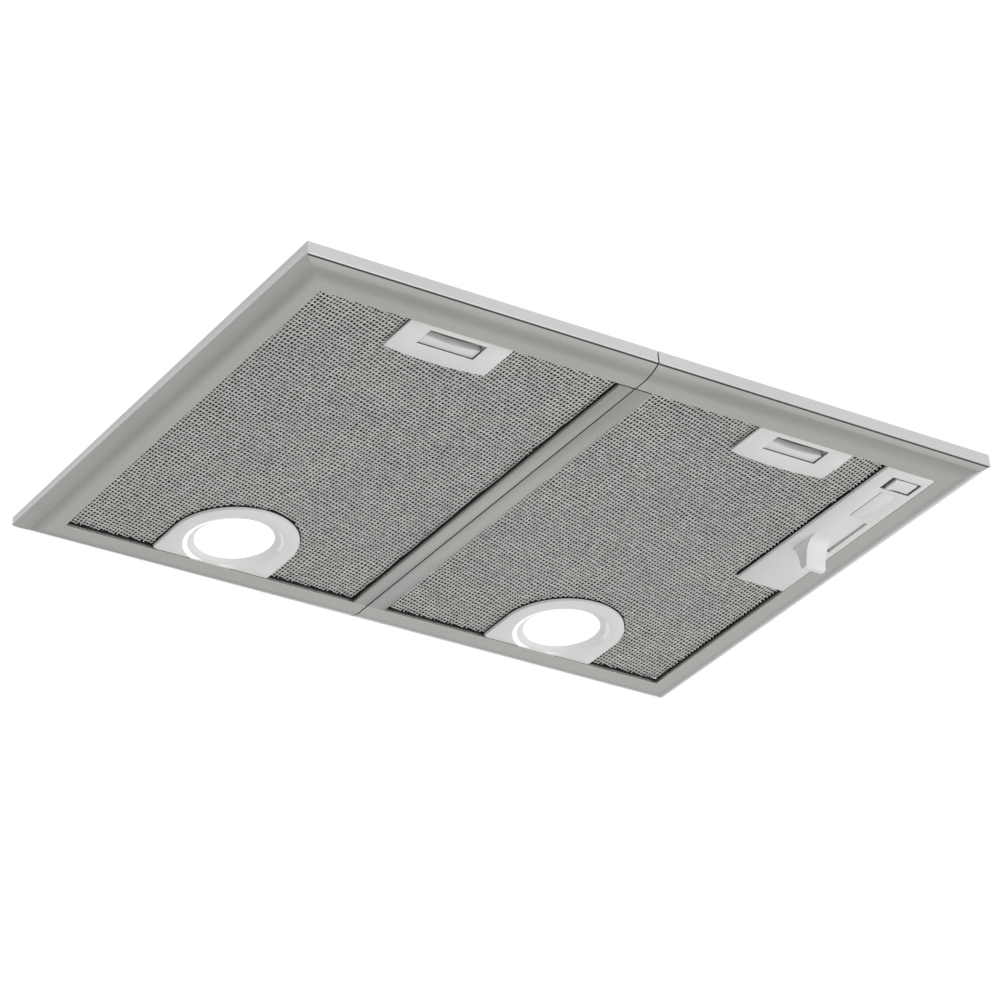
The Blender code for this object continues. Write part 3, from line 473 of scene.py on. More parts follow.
def bring_home(piece):
    """Puts the piece's place into its mesh, so that its object sits at the origin."""
    make_active(piece)
    bpy.ops.object.transform_apply(location=True, rotation=True, scale=True)


def apply_modifier(piece, kind, **values):
    make_active(piece)
    modifier = piece.modifiers.new(kind.title(), kind)
    for key, value in values.items():
        setattr(modifier, key, value)
    bpy.ops.object.modifier_apply(modifier=modifier.name)


def smooth(piece, angle=40):
    """Shades the piece smooth across edges of less than this angle in degrees."""
    make_active(piece)
    bpy.ops.object.shade_smooth_by_angle(angle=math.radians(angle))


def rounded(piece, width, segments=2, angle=32.0):
    """Rounds the sharp edges and shades the rest smooth."""
    if width:
        apply_modifier(piece, "BEVEL", width=width, segments=segments, limit_method="ANGLE",
                       angle_limit=math.radians(angle), harden_normals=False)
    smooth(piece)


def skin_of(node, material, width=None, segments=2, angle=32.0):
    """A finer copy of a node: triangles joined into whole faces, edges rounded."""
    if width is None:
        width = bpy.context.scene.hood_finish.edge_round
    source = frame["nodes"][node]
    piece = bpy.data.objects.new(node, source.data.copy())
    bpy.context.scene.collection.objects.link(piece)
    make_active(piece)
    bpy.ops.mesh.customdata_custom_splitnormals_clear()
    edit(piece)
    bpy.ops.mesh.remove_doubles(threshold=0.00001)
    bpy.ops.mesh.dissolve_limited(angle_limit=math.radians(0.6))
    bpy.ops.object.mode_set(mode="OBJECT")
    rounded(piece, width, segments, angle)
    return settle(piece, node, material)


def push_out(vertices, sides, reach, distance):
    """Moves the vertices within reach of each side outwards. A side is (axis, sign)."""
    for axis, sign in sides:
        edge = max(sign * vertex.co[axis] for vertex in vertices)
        for vertex in vertices:
            if sign * vertex.co[axis] > edge - reach:
                vertex.co[axis] += sign * distance


def start_ring(sides, radius=0.001, fill="NOTHING", place=(0, 0, 0)):
    """Adds a ring of points that a piece can grow from, and enters edit mode."""
    bpy.ops.object.select_all(action="DESELECT")
    bpy.ops.mesh.primitive_circle_add(vertices=sides, radius=radius, fill_type=fill, location=place)
    piece = bpy.context.active_object
    bring_home(piece)
    edit(piece)
    return piece


def place_in_turn(piece, points):
    """Moves the vertices of a piece in edit mode to these points."""
    shape = bmesh.from_edit_mesh(piece.data)
    shape.verts.ensure_lookup_table()
    for vertex, point in zip(shape.verts, points):
        vertex.co = point
    bmesh.update_edit_mesh(piece.data)


def place_selected(piece, place):
    """Moves the vertices selected in edit mode to where place(vertex position) says."""
    shape = bmesh.from_edit_mesh(piece.data)
    for vertex in shape.verts:
        if vertex.select:
            vertex.co = place(vertex.co)
    bmesh.update_edit_mesh(piece.data)


def key_of(point):
    """A point to the nearest micrometre, to look it up by."""
    return tuple(round(value, 6) for value in point)


def swept(sections):
    """Models a bar through sections, which are rings of the same number of points."""
    piece = start_ring(len(sections[0]), fill="NGON")
    place_in_turn(piece, sections[0])
    bpy.ops.mesh.select_mode(type="FACE")
    for before, after in zip(sections, sections[1:]):
        moves = {key_of(point): new for point, new in zip(before, after)}
        bpy.ops.mesh.select_all(action="DESELECT")
        shape = bmesh.from_edit_mesh(piece.data)
        shape.faces.ensure_lookup_table()
        end = min(shape.faces, key=lambda face: distance_to(face, before))
        end.select_set(True)
        bmesh.update_edit_mesh(piece.data)
        bpy.ops.mesh.extrude_region_move()
        place_selected(piece, lambda co: moves[key_of(co)])
    close_shape()
    return piece


def distance_to(face, ring):
    """How far a face is from being the one that fills this ring."""
    middle = sum(ring, Vector()) / len(ring)
    return abs(len(face.verts) - len(ring)) + (face.calc_center_median() - middle).length


def rings_piece(centre, rings, sides, outline=None, closed=False):
    """Models a round piece ring by ring: (radius, height), (radius, height, shift in X) or
    (offset, height, "outline"). A closed piece joins its last ring to its first."""
    def spot(co, ring):
        flat = Vector((co.x - centre[0], co.y - centre[1]))
        direction = flat.normalized()
        if ring[-1] == "outline":
            return outline(direction, ring[0], ring[1])
        shift = ring[2] if len(ring) == 3 else 0.0
        return Vector((centre[0] + shift + direction.x * ring[0], centre[1] + direction.y * ring[0], ring[1]))

    radius, height = rings[0]
    piece = start_ring(sides, radius, "NOTHING" if closed else "NGON", (centre[0], centre[1], height))
    bpy.ops.mesh.select_mode(type="EDGE")
    bpy.ops.mesh.select_all(action="SELECT")
    for ring in rings[1:]:
        bpy.ops.mesh.extrude_edges_move()
        place_selected(piece, lambda co: spot(co, ring))
    if closed:
        bpy.ops.mesh.extrude_edges_move()
        place_selected(piece, lambda co: spot(co, rings[0]))
    else:
        bpy.ops.mesh.edge_face_add()
    bpy.ops.mesh.select_all(action="SELECT")
    bpy.ops.mesh.remove_doubles(threshold=0.000002)
    close_shape()
    return piece


# ---------------------------------------------------------------- filter mesh

# A strand's middle sits lower than its corners, and its inner edge turns up.
CROWN_DROP = 0.00006
LIP_RISE = 0.00045
MESH_LEVEL = 0.0003
SPARE_CELLS = 3
# Waves per metre of the broad and the fine stray, and how far the fine one goes.
STRAY_SEED = 7
BROAD_WAVES = 52.0
FINE_WAVES = 520.0
FINE_STRAY = 0.00042
FINE_RISE = 0.00016
# A point this near is on the outline, and one past the second distance isn't drawn in.
ON_OUTLINE = 0.00005
FARTHEST_DRAWN_IN = 0.0011


def cell_corners(mesh):
    """Corners of one six-sided cell, round its hole, and the two steps from cell to cell."""
    row = Vector((0, mesh.row_pitch, 0))
    column = Vector((mesh.column_pitch, mesh.column_step, 0))
    corners = [row + column, 2 * row - column, row - 2 * column]
    corners = [corner / 3 for corner in corners] + [-corner / 3 for corner in corners]
    return corners, row, column


def model_cell(mesh, start, level):
    """One cell of the mesh: strands that crown between the holes and turn up into them."""
    corners, _, _ = cell_corners(mesh)
    piece = start_ring(len(corners))
    place_in_turn(piece, [start + corner + Vector((0, 0, level + mesh.relief * (index % 2)))
                          for index, corner in enumerate(corners)])
    middle = start + Vector((0, 0, level))
    bpy.ops.mesh.select_mode(type="EDGE")
    bpy.ops.mesh.select_all(action="SELECT")
    crown = (1 + mesh.hole_share) / 2
    for reach, lift in ((crown, -CROWN_DROP), (mesh.hole_share / crown, LIP_RISE)):
        bpy.ops.mesh.extrude_edges_move()

        def inward(co):
            flat = (co - middle) * reach
            return Vector((middle.x + flat.x, middle.y + flat.y, co.z + lift))

        place_selected(piece, inward)
    close_shape()
    return piece


def flat_cap(node):
    """The lowest flat face of a node, as a search tree that finds the nearest point on it."""
    data = frame["nodes"][node].data
    low = min(vertex.co.z for vertex in data.vertices)
    faces = [tuple(face.vertices) for face in data.polygons
             if all(data.vertices[index].co.z < low + 0.00002 for index in face.vertices)]
    return BVHTree.FromPolygons([vertex.co for vertex in data.vertices], faces)


def trim_to(piece, cap, level):
    """Drops the cells outside the filter's outline and draws those on its edge in to it."""
    shape = bmesh.new()
    shape.from_mesh(piece.data)
    outside = {}
    far = set()
    for vertex in shape.verts:
        spot = Vector((vertex.co.x, vertex.co.y, level))
        nearest, _, _, distance = cap.find_nearest(spot)
        if distance > ON_OUTLINE:
            outside[vertex] = nearest
            if distance > FARTHEST_DRAWN_IN:
                far.add(vertex)
    gone = [face for face in shape.faces if all(vertex in outside for vertex in face.verts)
            or any(vertex in far for vertex in face.verts)]
    bmesh.ops.delete(shape, geom=gone, context="FACES")
    for vertex, nearest in outside.items():
        if vertex.is_valid:
            vertex.co.x, vertex.co.y = nearest.x, nearest.y
    bmesh.ops.dissolve_degenerate(shape, dist=0.000003, edges=shape.edges)
    shape.to_mesh(piece.data)
    shape.free()


def stray(piece, mesh):
    """Lets the rows wander and each strand sit a little high or low, in the same way each time."""
    noise.seed_set(STRAY_SEED)
    shape = bmesh.new()
    shape.from_mesh(piece.data)
    for vertex in shape.verts:
        broad = noise.noise_vector(vertex.co * BROAD_WAVES)
        fine = noise.noise_vector(vertex.co * FINE_WAVES)
        vertex.co.x += broad.x * mesh.wander + fine.x * FINE_STRAY
        vertex.co.y += broad.y * mesh.wander + fine.y * FINE_STRAY
        vertex.co.z += fine.z * FINE_RISE
    shape.to_mesh(piece.data)
    shape.free()


def model_filter_face(side):
    """Covers a filter's outline with cells that share their corners."""
    mesh = bpy.context.scene.hood_mesh
    node = f"filter_mesh_{side}"
    low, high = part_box(node)
    _, row, column = cell_corners(mesh)
    columns = math.ceil((high.x - low.x) / column.x) + SPARE_CELLS
    climb = column.y * columns
    rows = math.ceil((high.y - low.y + climb) / row.y) + SPARE_CELLS
    start = Vector((low.x - column.x, low.y - row.y - climb, 0))
    piece = model_cell(mesh, start, low.z + MESH_LEVEL)
    for count, step in ((columns, column), (rows, row)):
        apply_modifier(piece, "ARRAY", count=count, use_relative_offset=False, use_constant_offset=True,
                       constant_offset_displace=step)
    edit(piece)
    bpy.ops.mesh.remove_doubles(threshold=0.00005)
    bpy.ops.object.mode_set(mode="OBJECT")
    stray(piece, mesh)
    trim_to(piece, flat_cap(node), low.z)
    make_active(piece)
    bpy.ops.object.shade_smooth()
    return settle(piece, node, "filter_metal")


# ---------------------------------------------------------------- operators

class HOOD_OT_stage(bpy.types.Operator):
    """Adds the camera, floor, cabinet underside and studio light"""

    bl_idname = "hood.stage"
    bl_label = "Stage"

    CUTOUT_MARGIN = 0.010
    BOARD_HEIGHT = 0.0004
    BOARD_REACH = 1.5
    WALL = ((0.50, 1.2), (0.72, 1.12), (0.83, 0.74), (0.91, 0.55), (0.955, 0.68), (0.985, 1.0), (1.0, 1.12))
    SOFTBOXES = (("front_softbox", (0.5, -3.4, 0.1), 2.6, 32.0),
                 ("right_softbox", (3.0, -0.8, -1.4), 2.2, 12.0))
    DAYLIGHT = (0.94, 0.98, 1.0)

    def execute(self, context):
        stage = context.scene.hood_stage
        lift, turn = stage.camera_lift, stage.camera_turn
        view = Vector((math.sin(turn) * math.cos(lift), math.cos(turn) * math.cos(lift), math.sin(lift)))
        camera = bpy.data.objects.new("studio_camera", bpy.data.cameras.new("studio_camera"))
        context.scene.collection.objects.link(camera)
        camera.location = stage.camera_place
        camera.rotation_mode = "QUATERNION"
        roll = Quaternion((0, 0, 1), stage.camera_roll)
        camera.rotation_quaternion = view.to_track_quat("-Z", "Y") @ roll
        camera.data.sensor_width = 36.0
        camera.data.lens = stage.lens_mm
        camera.data.clip_start, camera.data.clip_end = 0.1, 60.0
        context.scene.camera = camera
        self.add_floor(stage)
        self.add_cabinet()
        self.add_world(context, stage)
        self.add_lights(context)
        context.scene.view_settings.view_transform = "Standard"
        return {"FINISHED"}

    def add_floor(self, stage):
        bpy.ops.object.select_all(action="DESELECT")
        bpy.ops.mesh.primitive_plane_add(size=60.0, location=(0, 0, stage.floor_level))
        floor = bpy.context.active_object
        floor.name = "studio_floor"
        material, tree, shader = start_material("pale_floor")
        tone = pattern(tree, "ShaderNodeTexNoise", 0.8, detail=2.0)
        base = shades(tree, tone.outputs["Fac"], grey(0.80), grey(0.84))
        tree.links.new(base, shader.inputs["Base Color"])
        shader.inputs["Roughness"].default_value = 0.9
        floor.data.materials.append(material)
        floor.visible_diffuse = floor.visible_glossy = False

    def add_cabinet(self):
        """The cabinet's underside round its cut-out, white from below; from above it can't be seen."""
        low, high = CAD_BOX
        half = (high - low) / 2
        middle = (low + high) / 2

        def corner(co, reach):
            side = Vector((math.copysign(half.x - self.CUTOUT_MARGIN + reach, co.x - middle.x),
                           math.copysign(half.y - self.CUTOUT_MARGIN + reach, co.y - middle.y)))
            return Vector((middle.x + side.x, middle.y + side.y, self.BOARD_HEIGHT))

        bpy.ops.object.select_all(action="DESELECT")
        bpy.ops.mesh.primitive_plane_add(size=0.2, location=(middle.x, middle.y, self.BOARD_HEIGHT))
        board = bpy.context.active_object
        bring_home(board)
        edit(board)
        bpy.ops.mesh.select_mode(type="EDGE")
        bpy.ops.mesh.select_all(action="SELECT")
        place_selected(board, lambda co: corner(co, 0.0))
        bpy.ops.mesh.delete(type="ONLY_FACE")
        bpy.ops.mesh.select_all(action="SELECT")
        bpy.ops.mesh.extrude_edges_move()
        place_selected(board, lambda co: corner(co, self.BOARD_REACH))
        close_shape()
        board.name = "cabinet_underside"
        material, tree, _ = start_material("cabinet_white")
        tree.nodes.clear()
        out = add_node(tree, "ShaderNodeOutputMaterial")
        white = add_node(tree, "ShaderNodeEmission")
        clear = add_node(tree, "ShaderNodeBsdfTransparent")
        facing = add_node(tree, "ShaderNodeNewGeometry")
        choose = add_node(tree, "ShaderNodeMixShader")
        tree.links.new(facing.outputs["Backfacing"], choose.inputs["Fac"])
        tree.links.new(clear.outputs["BSDF"], choose.inputs[1])
        tree.links.new(white.outputs["Emission"], choose.inputs[2])
        tree.links.new(choose.outputs["Shader"], out.inputs["Surface"])
        board.data.materials.append(material)
        for kind in ("diffuse", "glossy", "transmission", "volume_scatter", "shadow"):
            setattr(board, f"visible_{kind}", False)

    def add_world(self, context, stage):
        """White to the camera. As a light it is soft, and weaker from the left and from below."""
        world = bpy.data.worlds.new("studio")
        context.scene.world = world
        world.use_nodes = True
        tree = world.node_tree
        tree.nodes.clear()
        direction = add_node(tree, "ShaderNodeTexCoord").outputs["Generated"]
        axes = add_node(tree, "ShaderNodeSeparateXYZ")
        tree.links.new(direction, axes.inputs["Vector"])
        full = grey(stage.sky_light)
        across = span(tree, axes.outputs["X"], from_min=-0.8, from_max=0.2)
        sides = shades(tree, across, scaled(full, stage.left_share), full)
        height = span(tree, axes.outputs["Z"], from_min=-1.0)
        tint = shades(tree, height, (0.80, 0.80, 0.788), (1.0, 1.015, 1.03), 0.25, 0.60)
        sky = multiplied(tree, multiplied(tree, sides, tint), self.wall(tree, direction, stage))
        light = add_node(tree, "ShaderNodeBackground")
        seen = add_node(tree, "ShaderNodeBackground", color=(1, 1, 1, 1))
        path = add_node(tree, "ShaderNodeLightPath")
        choose = add_node(tree, "ShaderNodeMixShader")
        out = add_node(tree, "ShaderNodeOutputWorld")
        tree.links.new(sky, light.inputs["Color"])
        tree.links.new(path.outputs["Is Camera Ray"], choose.inputs["Fac"])
        tree.links.new(light.outputs["Background"], choose.inputs[1])
        tree.links.new(seen.outputs["Background"], choose.inputs[2])
        tree.links.new(choose.outputs["Shader"], out.inputs["Surface"])

    def wall(self, tree, direction, stage):
        """The light's share by how near a direction is to the bright wall, which has a dark band round it."""
        toward = add_node(tree, "ShaderNodeVectorMath", operation="DOT_PRODUCT")
        toward.inputs[1].default_value = Vector(stage.panel_side).normalized()
        tree.links.new(direction, toward.inputs[0])
        ramp = add_node(tree, "ShaderNodeValToRGB")
        points = ramp.color_ramp.elements
        for point, (position, tone) in zip(points, (self.WALL[0], self.WALL[-1])):
            point.position = position
            point.color = (*grey(tone), 1)
        for position, tone in self.WALL[1:-1]:
            points.new(position).color = (*grey(tone), 1)
        tree.links.new(toward.outputs["Value"], ramp.inputs["Fac"])
        return ramp.outputs["Color"]

    def add_lights(self, context):
        """Two wide soft boxes: one in front, and a weaker one from the right."""
        centre = (CAD_BOX[0] + CAD_BOX[1]) / 2
        for name, place, size, power in self.SOFTBOXES:
            light = bpy.data.objects.new(name, bpy.data.lights.new(name, "AREA"))
            light.data.size = size
            light.data.energy = power
            light.data.color = self.DAYLIGHT
            light.location = place
            light.rotation_mode = "QUATERNION"
            light.rotation_quaternion = (centre - Vector(place)).to_track_quat("-Z", "Y")
            light.visible_camera = False
            context.scene.collection.objects.link(light)


class HOOD_OT_trim(bpy.types.Operator):
    """Models the trim frame with its bead, groove and curved rails, and the strips between the filters"""

    bl_idname = "hood.trim"
    bl_label = "Trim frame"

    SHEET = 0.0012
    RAIL = 0.0265
    CURVE_SHARE = 0.68
    CURVE_STEPS = 18
    # Corners of the bead, as (distance in from the edge, height above the lowest face).
    BEAD = ((0.0003, 0.0019), (0.0001, 0.0015), (0, 0.0012), (0, 0.0005), (0.0001, 0.0002), (0.0003, 0))
    GROOVE = (0.0008, 0.0014)
    GROOVE_DEPTH = 0.0005
    GROOVE_HEIGHTS = (-0.0093, -0.0045)
    EDGE = 0.0003
    # Height on the flange above which its faces get painted shade.
    PAINTED_SHADE_START = 0.0020
    FLANGE_TOP = -0.010
    OPENING = {"left": -0.242, "right": 0.2409, "front": -0.3432, "rear": -0.0185}
    FACE = {"front": 0.009, "rear": 0.0058}
    GROOVE_END = 0.0006

    def execute(self, context):
        self.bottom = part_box("centre_strip_left")[0].z
        for side in SIDES:
            self.model_rails(side)
            strip = skin_of(f"centre_strip_{side}", "rim_paint", 0.00025)
            # The strip is cut where its flange's painted shade starts.
            split_at(strip, self.bottom + self.PAINTED_SHADE_START)
            self.darken_flange(strip)
        return {"FINISHED"}

    def profile(self, face, grooved):
        """The rail's section as (share of its width, height), from its top outer edge round and back."""
        unit = 1 / self.RAIL
        start, end = (width * unit for width in self.GROOVE)
        curve = self.CURVE_SHARE

        def skin(share):
            return -face + (self.bottom + face) * (1 - max(0.0, 1 - share / curve) ** 2)

        bead = [(self.EDGE * unit, 0)] + [(inset * unit, height - face) for inset, height in self.BEAD]
        if grooved:
            roof = self.GROOVE_DEPTH - face
            groove = [(start, -face), (start, roof), (end, roof), (end, skin(end))]
        else:
            groove = [(start + (end - start) * share, skin(start + (end - start) * share))
                      for share in (0, 0.3, 0.6, 1.0)]
        shares = [end + (curve - end) * step / self.CURVE_STEPS for step in range(1, self.CURVE_STEPS + 1)]
        outside = [(share, skin(share)) for share in shares]
        wall = self.SHEET * unit
        flange = [(1 - self.EDGE * unit, self.bottom), (1, self.bottom + self.EDGE),
                  (1, self.bottom + self.PAINTED_SHADE_START), (1, self.FLANGE_TOP), (1 - wall, self.FLANGE_TOP),
                  (1 - wall, self.bottom + self.SHEET)]
        inside = [(share, skin(share) + self.SHEET) for share in (0.55, 0.3, end + wall)]
        return bead + groove + outside + flange + inside + [(0.06, 0)]

    def model_rails(self, side):
        """Sweeps the section round three sides, from the seam in front to the seam at the rear."""
        node = f"trim_frame_{side}"
        low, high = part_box(node)
        seam, outer = (high.x, low.x) if side == "left" else (low.x, high.x)
        inner, front, rear = (self.OPENING[name] for name in (side, "front", "rear"))
        thick, thin, step = self.FACE["front"], self.FACE["rear"], self.GROOVE_END
        corners = [((seam, low.y), (seam, front), thick, True), ((outer, low.y), (inner, front), thick, True),
                   ((outer, low.y + step), (inner, front + step), thick, False),
                   ((outer, high.y), (inner, rear), thin, False), ((seam, high.y), (seam, rear), thin, False)]

        def point(out, into, share, height):
            return Vector((out[0] + share * (into[0] - out[0]), out[1] + share * (into[1] - out[1]), height))

        piece = swept([[point(out, into, share, height) for share, height in self.profile(face, grooved)]
                       for out, into, face, grooved in corners])
        smooth(piece, 28)
        settle(piece, node, "rim_paint")
        self.darken_flange(piece, side)
        # The groove's faces get painted shade.
        also_finish(piece, "groove_shade", lambda centre, normal: self.in_groove(centre, normal, low))

    def in_groove(self, centre, normal, low):
        """Whether a face lies in the groove along the front edge."""
        near = 0.0001
        start, end = self.GROOVE
        bottom, top = self.GROOVE_HEIGHTS
        return start - near < centre.y - low.y < end + near and bottom < centre.z < top and normal.z < 0.5

    def darken_flange(self, piece, side=None):
        """Paints the upright flange round an opening near-black: painted shade, for the filter's shade that
        falls there.
        """
        near = 0.0004
        lowest, highest = self.bottom + 0.0019, -0.009

        def is_flange(centre, normal):
            upright = abs(normal.z) < 0.3 and lowest < centre.z < highest
            if not side:
                return upright and abs(normal.x) > 0.9
            return upright and (abs(centre.x - self.OPENING[side]) < near
                                or abs(centre.y - self.OPENING["front"]) < near
                                or abs(centre.y - self.OPENING["rear"]) < near)

        also_finish(piece, "shadow_gap", is_flange)


class HOOD_OT_filters(bpy.types.Operator):
    """Models the mesh of both filters and finishes their frames and pads"""

    bl_idname = "hood.filters"
    bl_label = "Grease filters"

    def execute(self, context):
        for side in SIDES:
            model_filter_face(side)
            rim = skin_of(f"filter_frame_{side}", "frame_metal")
            # Painted shade: the frame's lower face, seen through the mesh's holes, gets the near-black pad
            # finish.
            also_finish(rim, "pad_painted_shade", lambda spot, normal: normal.z < -0.9 and spot.z < -0.0085)
            skin_of(f"filter_pad_{side}", "pad_painted_shade", 0.0)
        return {"FINISHED"}


class HOOD_OT_latches(bpy.types.Operator):
    """Finishes the filters' latch plates, slides and springs"""

    bl_idname = "hood.latches"
    bl_label = "Filter latches"

    TRAVEL = 0.004
    BAR_TOP = -0.0068

    def execute(self, context):
        for side in SIDES:
            skin_of(f"latch_plate_{side}", "light_plastic", 0.0003)
            slide = skin_of(f"latch_slide_{side}", "light_plastic", 0.0002)
            bar = [vertex for vertex in slide.data.vertices if vertex.co.z < self.BAR_TOP]
            # The finger bar is widened, so that only a hairline shows round it.
            push_out(bar, (TO_LEFT, TO_RIGHT, TO_REAR), 0.0004, 0.00022)
            spring = skin_of(f"latch_spring_{side}", "steel", 0.0)
            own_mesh(spring)
        return {"FINISHED"}


class HOOD_OT_lamps(bpy.types.Operator):
    """Models the lamp bezels and lenses, and finishes the holders and bulbs behind them"""

    bl_idname = "hood.lamps"
    bl_label = "Lamps"

    BORE = 0.0293
    LENS_GAP = 0.0002
    SHIFT = 0.0010
    # Rings of the bezel as (radius or distance in from the outline, height above the lens or the face).
    SEAT = ((0.0272, -0.0002), (0.0272, -0.0005), (0.0276, -0.0008))
    DISH = ((0.0300, 0.0020), (0.0314, 0.0013), (0.0318, 0.0012))
    LIP = ((0.0339, 0.00025), (0.0343, 0.00006), (0.0348, 0))
    RIM = ((0.0005, 0), (0.00015, 0.0001), (0, 0.0005), (0, 0.0022))
    LIT_RADII = (0.0316, 0.0341)
    LIT_HEIGHTS = (0.0001, 0.00125)
    LIT_SIDE = Vector((-0.87, 0.49))
    PLATE_RADIUS = 0.036
    DOME = 0.0003

    def execute(self, context):
        for side in SIDES:
            self.model_bezel(side)
            self.model_lens(side)
            skin_of(f"lamp_holder_{side}", "zinc_sheet")
            skin_of(f"lamp_bulb_{side}", "lamp_glass", 0.0)
        return {"FINISHED"}

    def model_bezel(self, side):
        """A flat D-shaped plate with a dish that steps up to the lens."""
        node = f"lamp_bezel_{side}"
        low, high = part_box(node)
        lens_low, lens_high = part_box(f"lamp_lens_{side}")
        centre = (lens_low + lens_high) / 2
        radius, rear = (high.x - low.x) / 2, high.y - centre.y
        face = low.z

        def outline(direction, offset, height):
            """Half a circle to the front, straight sides and a straight edge at the rear."""
            reach = radius - offset
            if direction.y > 0:
                across = abs(direction.x)
                side_reach = reach / across if across > 0.001 else math.inf
                reach = min(side_reach, (rear - offset) / direction.y)
            return Vector((centre.x + direction.x * reach, centre.y + direction.y * reach, height))

        rings = [(self.BORE, high.z), (self.BORE, lens_low.z - self.LENS_GAP)]
        rings += [(size, lens_low.z + height, self.SHIFT) for size, height in self.SEAT]
        rings += [(size, face + height, self.SHIFT) for size, height in self.DISH]
        rings += [(size, face + height) for size, height in self.LIP]
        rings += [(offset, face + height, "outline") for offset, height in self.RIM]
        rings += [(0.0, high.z, "outline")]
        piece = rings_piece((centre.x, centre.y), rings, 144, outline, closed=True)
        smooth(piece, 35)
        settle(piece, node, "light_plastic")
        self.light_dish(piece, centre)

        def distance(spot):
            return Vector((spot.x - centre.x, spot.y - centre.y)).length

        def lit(spot, normal):
            lowest, highest = (face + height for height in self.LIT_HEIGHTS)
            inner, outer = self.LIT_RADII
            return inner < distance(spot) < outer and lowest < spot.z < highest and normal.z < 0

        # Painted shade: the bezel's upright outer wall above its rim is near-black, for the shade between
        # bezel and mesh.
        def in_gap(spot, normal):
            beyond = distance(spot) > self.PLATE_RADIUS
            return beyond and abs(normal.z) < UPRIGHT and spot.z > face + self.RIM[-1][1]

        # Painted light: the dish's lit crescent glows by emission.
        also_finish(piece, "painted_lamp_light", lit)
        also_finish(piece, "shadow_gap", in_gap)

    def light_dish(self, piece, centre):
        """Stores the share of painted lamp light that each point gets: most on one side, some across from it.
        """
        glow = piece.data.attributes.new("glow", "FLOAT", "POINT")
        for vertex, value in zip(piece.data.vertices, glow.data):
            flat = Vector((vertex.co.x - centre.x, vertex.co.y - centre.y)).normalized()
            toward = flat.dot(self.LIT_SIDE)
            near = max(0.0, min(1.0, (toward + 0.1) * 1.6))
            across = max(0.0, min(1.0, (-toward - 0.90) * 20))
            value.value = near + 0.4 * across

    def model_lens(self, side):
        """A shallow dome that bulges down to the room."""
        node = f"lamp_lens_{side}"
        low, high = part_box(node)
        centre = (low + high) / 2
        edge = (high.x - low.x) / 2
        rings = [(edge * share, low.z + self.DOME * share ** 2) for share in (0.2, 0.4, 0.6, 0.8, 0.93)]
        rings += [(edge - 0.0002, low.z + 0.0004), (edge, low.z + 0.0006), (edge, high.z),
                  (edge * 0.5, high.z)]
        piece = rings_piece((centre.x, centre.y), rings, 96)
        smooth(piece)
        settle(piece, node, "lamp_glass")


class HOOD_OT_controls(bpy.types.Operator):
    """Finishes the control panel, rocker and slider, and the switches above them"""

    bl_idname = "hood.controls"
    bl_label = "Controls"

    FACE_DEPTH = 0.0022
    FEATHER = 0.0045
    THIN_EDGE = 0.00004

    def execute(self, context):
        panel = skin_of("control_panel", "light_plastic", 0.0003)
        low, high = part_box("control_panel")
        edge = low.z + self.FACE_DEPTH
        split_at(panel, edge)

        # Painted shade: the panel's upright side walls above its face are near-black, for the shade beside
        # the mesh.
        def in_gap(spot, normal):
            beside = spot.x < low.x + 0.0001 or spot.y > high.y - 0.0001
            return beside and abs(normal.z) < UPRIGHT and spot.z > edge

        also_finish(panel, "shadow_gap", in_gap)
        plate = skin_of("name_plate_blank", "light_plastic", 0.0001)
        # The plate fills its recess, except on the left, where the open groove stays.
        push_out(plate.data.vertices, (TO_RIGHT, TO_FRONT, TO_REAR), 0.0003, 0.00026)
        skin_of("light_rocker", "light_plastic", 0.0005, 3)
        slider = skin_of("fan_slider", "light_plastic", 0.0009, 4, 38.0)
        self.feather(slider, low.z)
        skin_of("control_box", "grey_plastic", 0.0006)
        for node in ("light_switch_body", "speed_switch_body"):
            skin_of(node, "black_plastic", 0.0005)
        return {"FINISHED"}

    def feather(self, slider, face):
        """Thins the slider's front edge down to the panel, so that its ramp starts without a step."""
        top = face - self.THIN_EDGE
        ramp = [vertex for vertex in slider.data.vertices if vertex.co.z < face - 0.00001]
        front = min(vertex.co.y for vertex in ramp)
        for vertex in ramp:
            share = min(1.0, (vertex.co.y - front) / self.FEATHER)
            vertex.co.z = top - (top - vertex.co.z) * share


class HOOD_OT_housing(bpy.types.Operator):
    """Finishes the sheet metal housing and the wiring parts on it"""

    bl_idname = "hood.housing"
    bl_label = "Housing"

    def execute(self, context):
        for part in ("front", "rear", "left", "right", "top"):
            skin_of(f"housing_{part}", "zinc_sheet")
        skin_of("centre_beam", "zinc_sheet")
        skin_of("terminal_box", "grey_plastic", 0.0006)
        skin_of("motor_capacitor", "light_plastic", 0.0015, 4)
        skin_of("cable_gland", "black_plastic", 0.0004)
        return {"FINISHED"}


class HOOD_OT_fan(bpy.types.Operator):
    """Finishes the fan casing, wheel and motor"""

    bl_idname = "hood.fan"
    bl_label = "Fan"

    def execute(self, context):
        for side in SIDES:
            skin_of(f"fan_casing_{side}", "grey_plastic", 0.0005)
        for node in frame["nodes"]:
            if node.startswith("fan_wheel"):
                skin_of(node, "black_plastic", 0.0)
        skin_of("motor_shaft", "steel", 0.0003)
        skin_of("fan_motor", "steel", 0.001)
        skin_of("motor_bracket", "zinc_sheet", 0.0003)
        return {"FINISHED"}


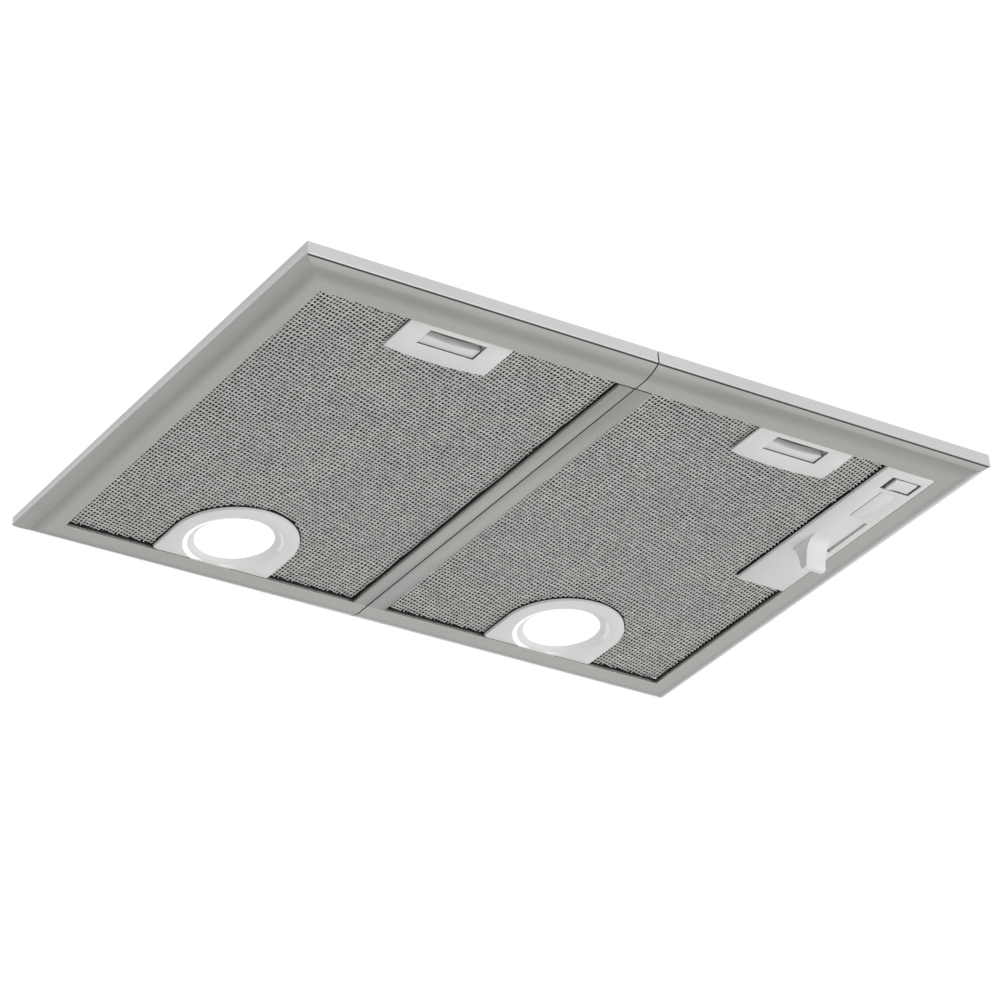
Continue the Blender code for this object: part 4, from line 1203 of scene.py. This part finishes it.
class HOOD_OT_outlet(bpy.types.Operator):
    """Finishes the duct outlet and its two flaps"""

    bl_idname = "hood.outlet"
    bl_label = "Duct outlet"

    def execute(self, context):
        skin_of("outlet_spigot", "grey_plastic", 0.0004)
        for side in SIDES:
            skin_of(f"outlet_flap_{side}", "grey_plastic", 0.0002)
        return {"FINISHED"}


class HOOD_OT_clamps(bpy.types.Operator):
    """Finishes the four clamps that hold the hood in the cabinet"""

    bl_idname = "hood.clamps"
    bl_label = "Cabinet clamps"

    def execute(self, context):
        for corner in CORNERS:
            skin_of(f"clamp_arm_{corner}", "zinc_sheet", 0.0004)
            skin_of(f"clamp_screw_{corner}", "threaded_steel", 0.0003)
        return {"FINISHED"}


OPERATORS = (HOOD_OT_stage, HOOD_OT_trim, HOOD_OT_filters, HOOD_OT_latches, HOOD_OT_lamps, HOOD_OT_controls,
             HOOD_OT_housing, HOOD_OT_fan, HOOD_OT_outlet, HOOD_OT_clamps)


class HOOD_PT_panel(bpy.types.Panel):
    """Lists the hood's operators and settings"""

    bl_label = "Range hood"
    bl_space_type = "VIEW_3D"
    bl_region_type = "UI"
    bl_category = "Hood"

    def draw(self, context):
        for operator in OPERATORS:
            self.layout.operator(operator.bl_idname)
        for group in (context.scene.hood_finish, context.scene.hood_mesh, context.scene.hood_stage):
            for name in group.__annotations__:
                self.layout.prop(group, name)


CLASSES = (HoodFinish, HoodMesh, HoodStage, *OPERATORS, HOOD_PT_panel)


def register():
    for item in CLASSES:
        bpy.utils.register_class(item)
    bpy.types.Scene.hood_finish = bpy.props.PointerProperty(type=HoodFinish)
    bpy.types.Scene.hood_mesh = bpy.props.PointerProperty(type=HoodMesh)
    bpy.types.Scene.hood_stage = bpy.props.PointerProperty(type=HoodStage)


def unregister():
    for name in ("hood_finish", "hood_mesh", "hood_stage"):
        delattr(bpy.types.Scene, name)
    for item in reversed(CLASSES):
        bpy.utils.unregister_class(item)


def main():
    register()
    for operator in OPERATORS:
        group, name = operator.bl_idname.split(".")
        getattr(getattr(bpy.ops, group), name)()


if __name__ == "__main__":
    main()
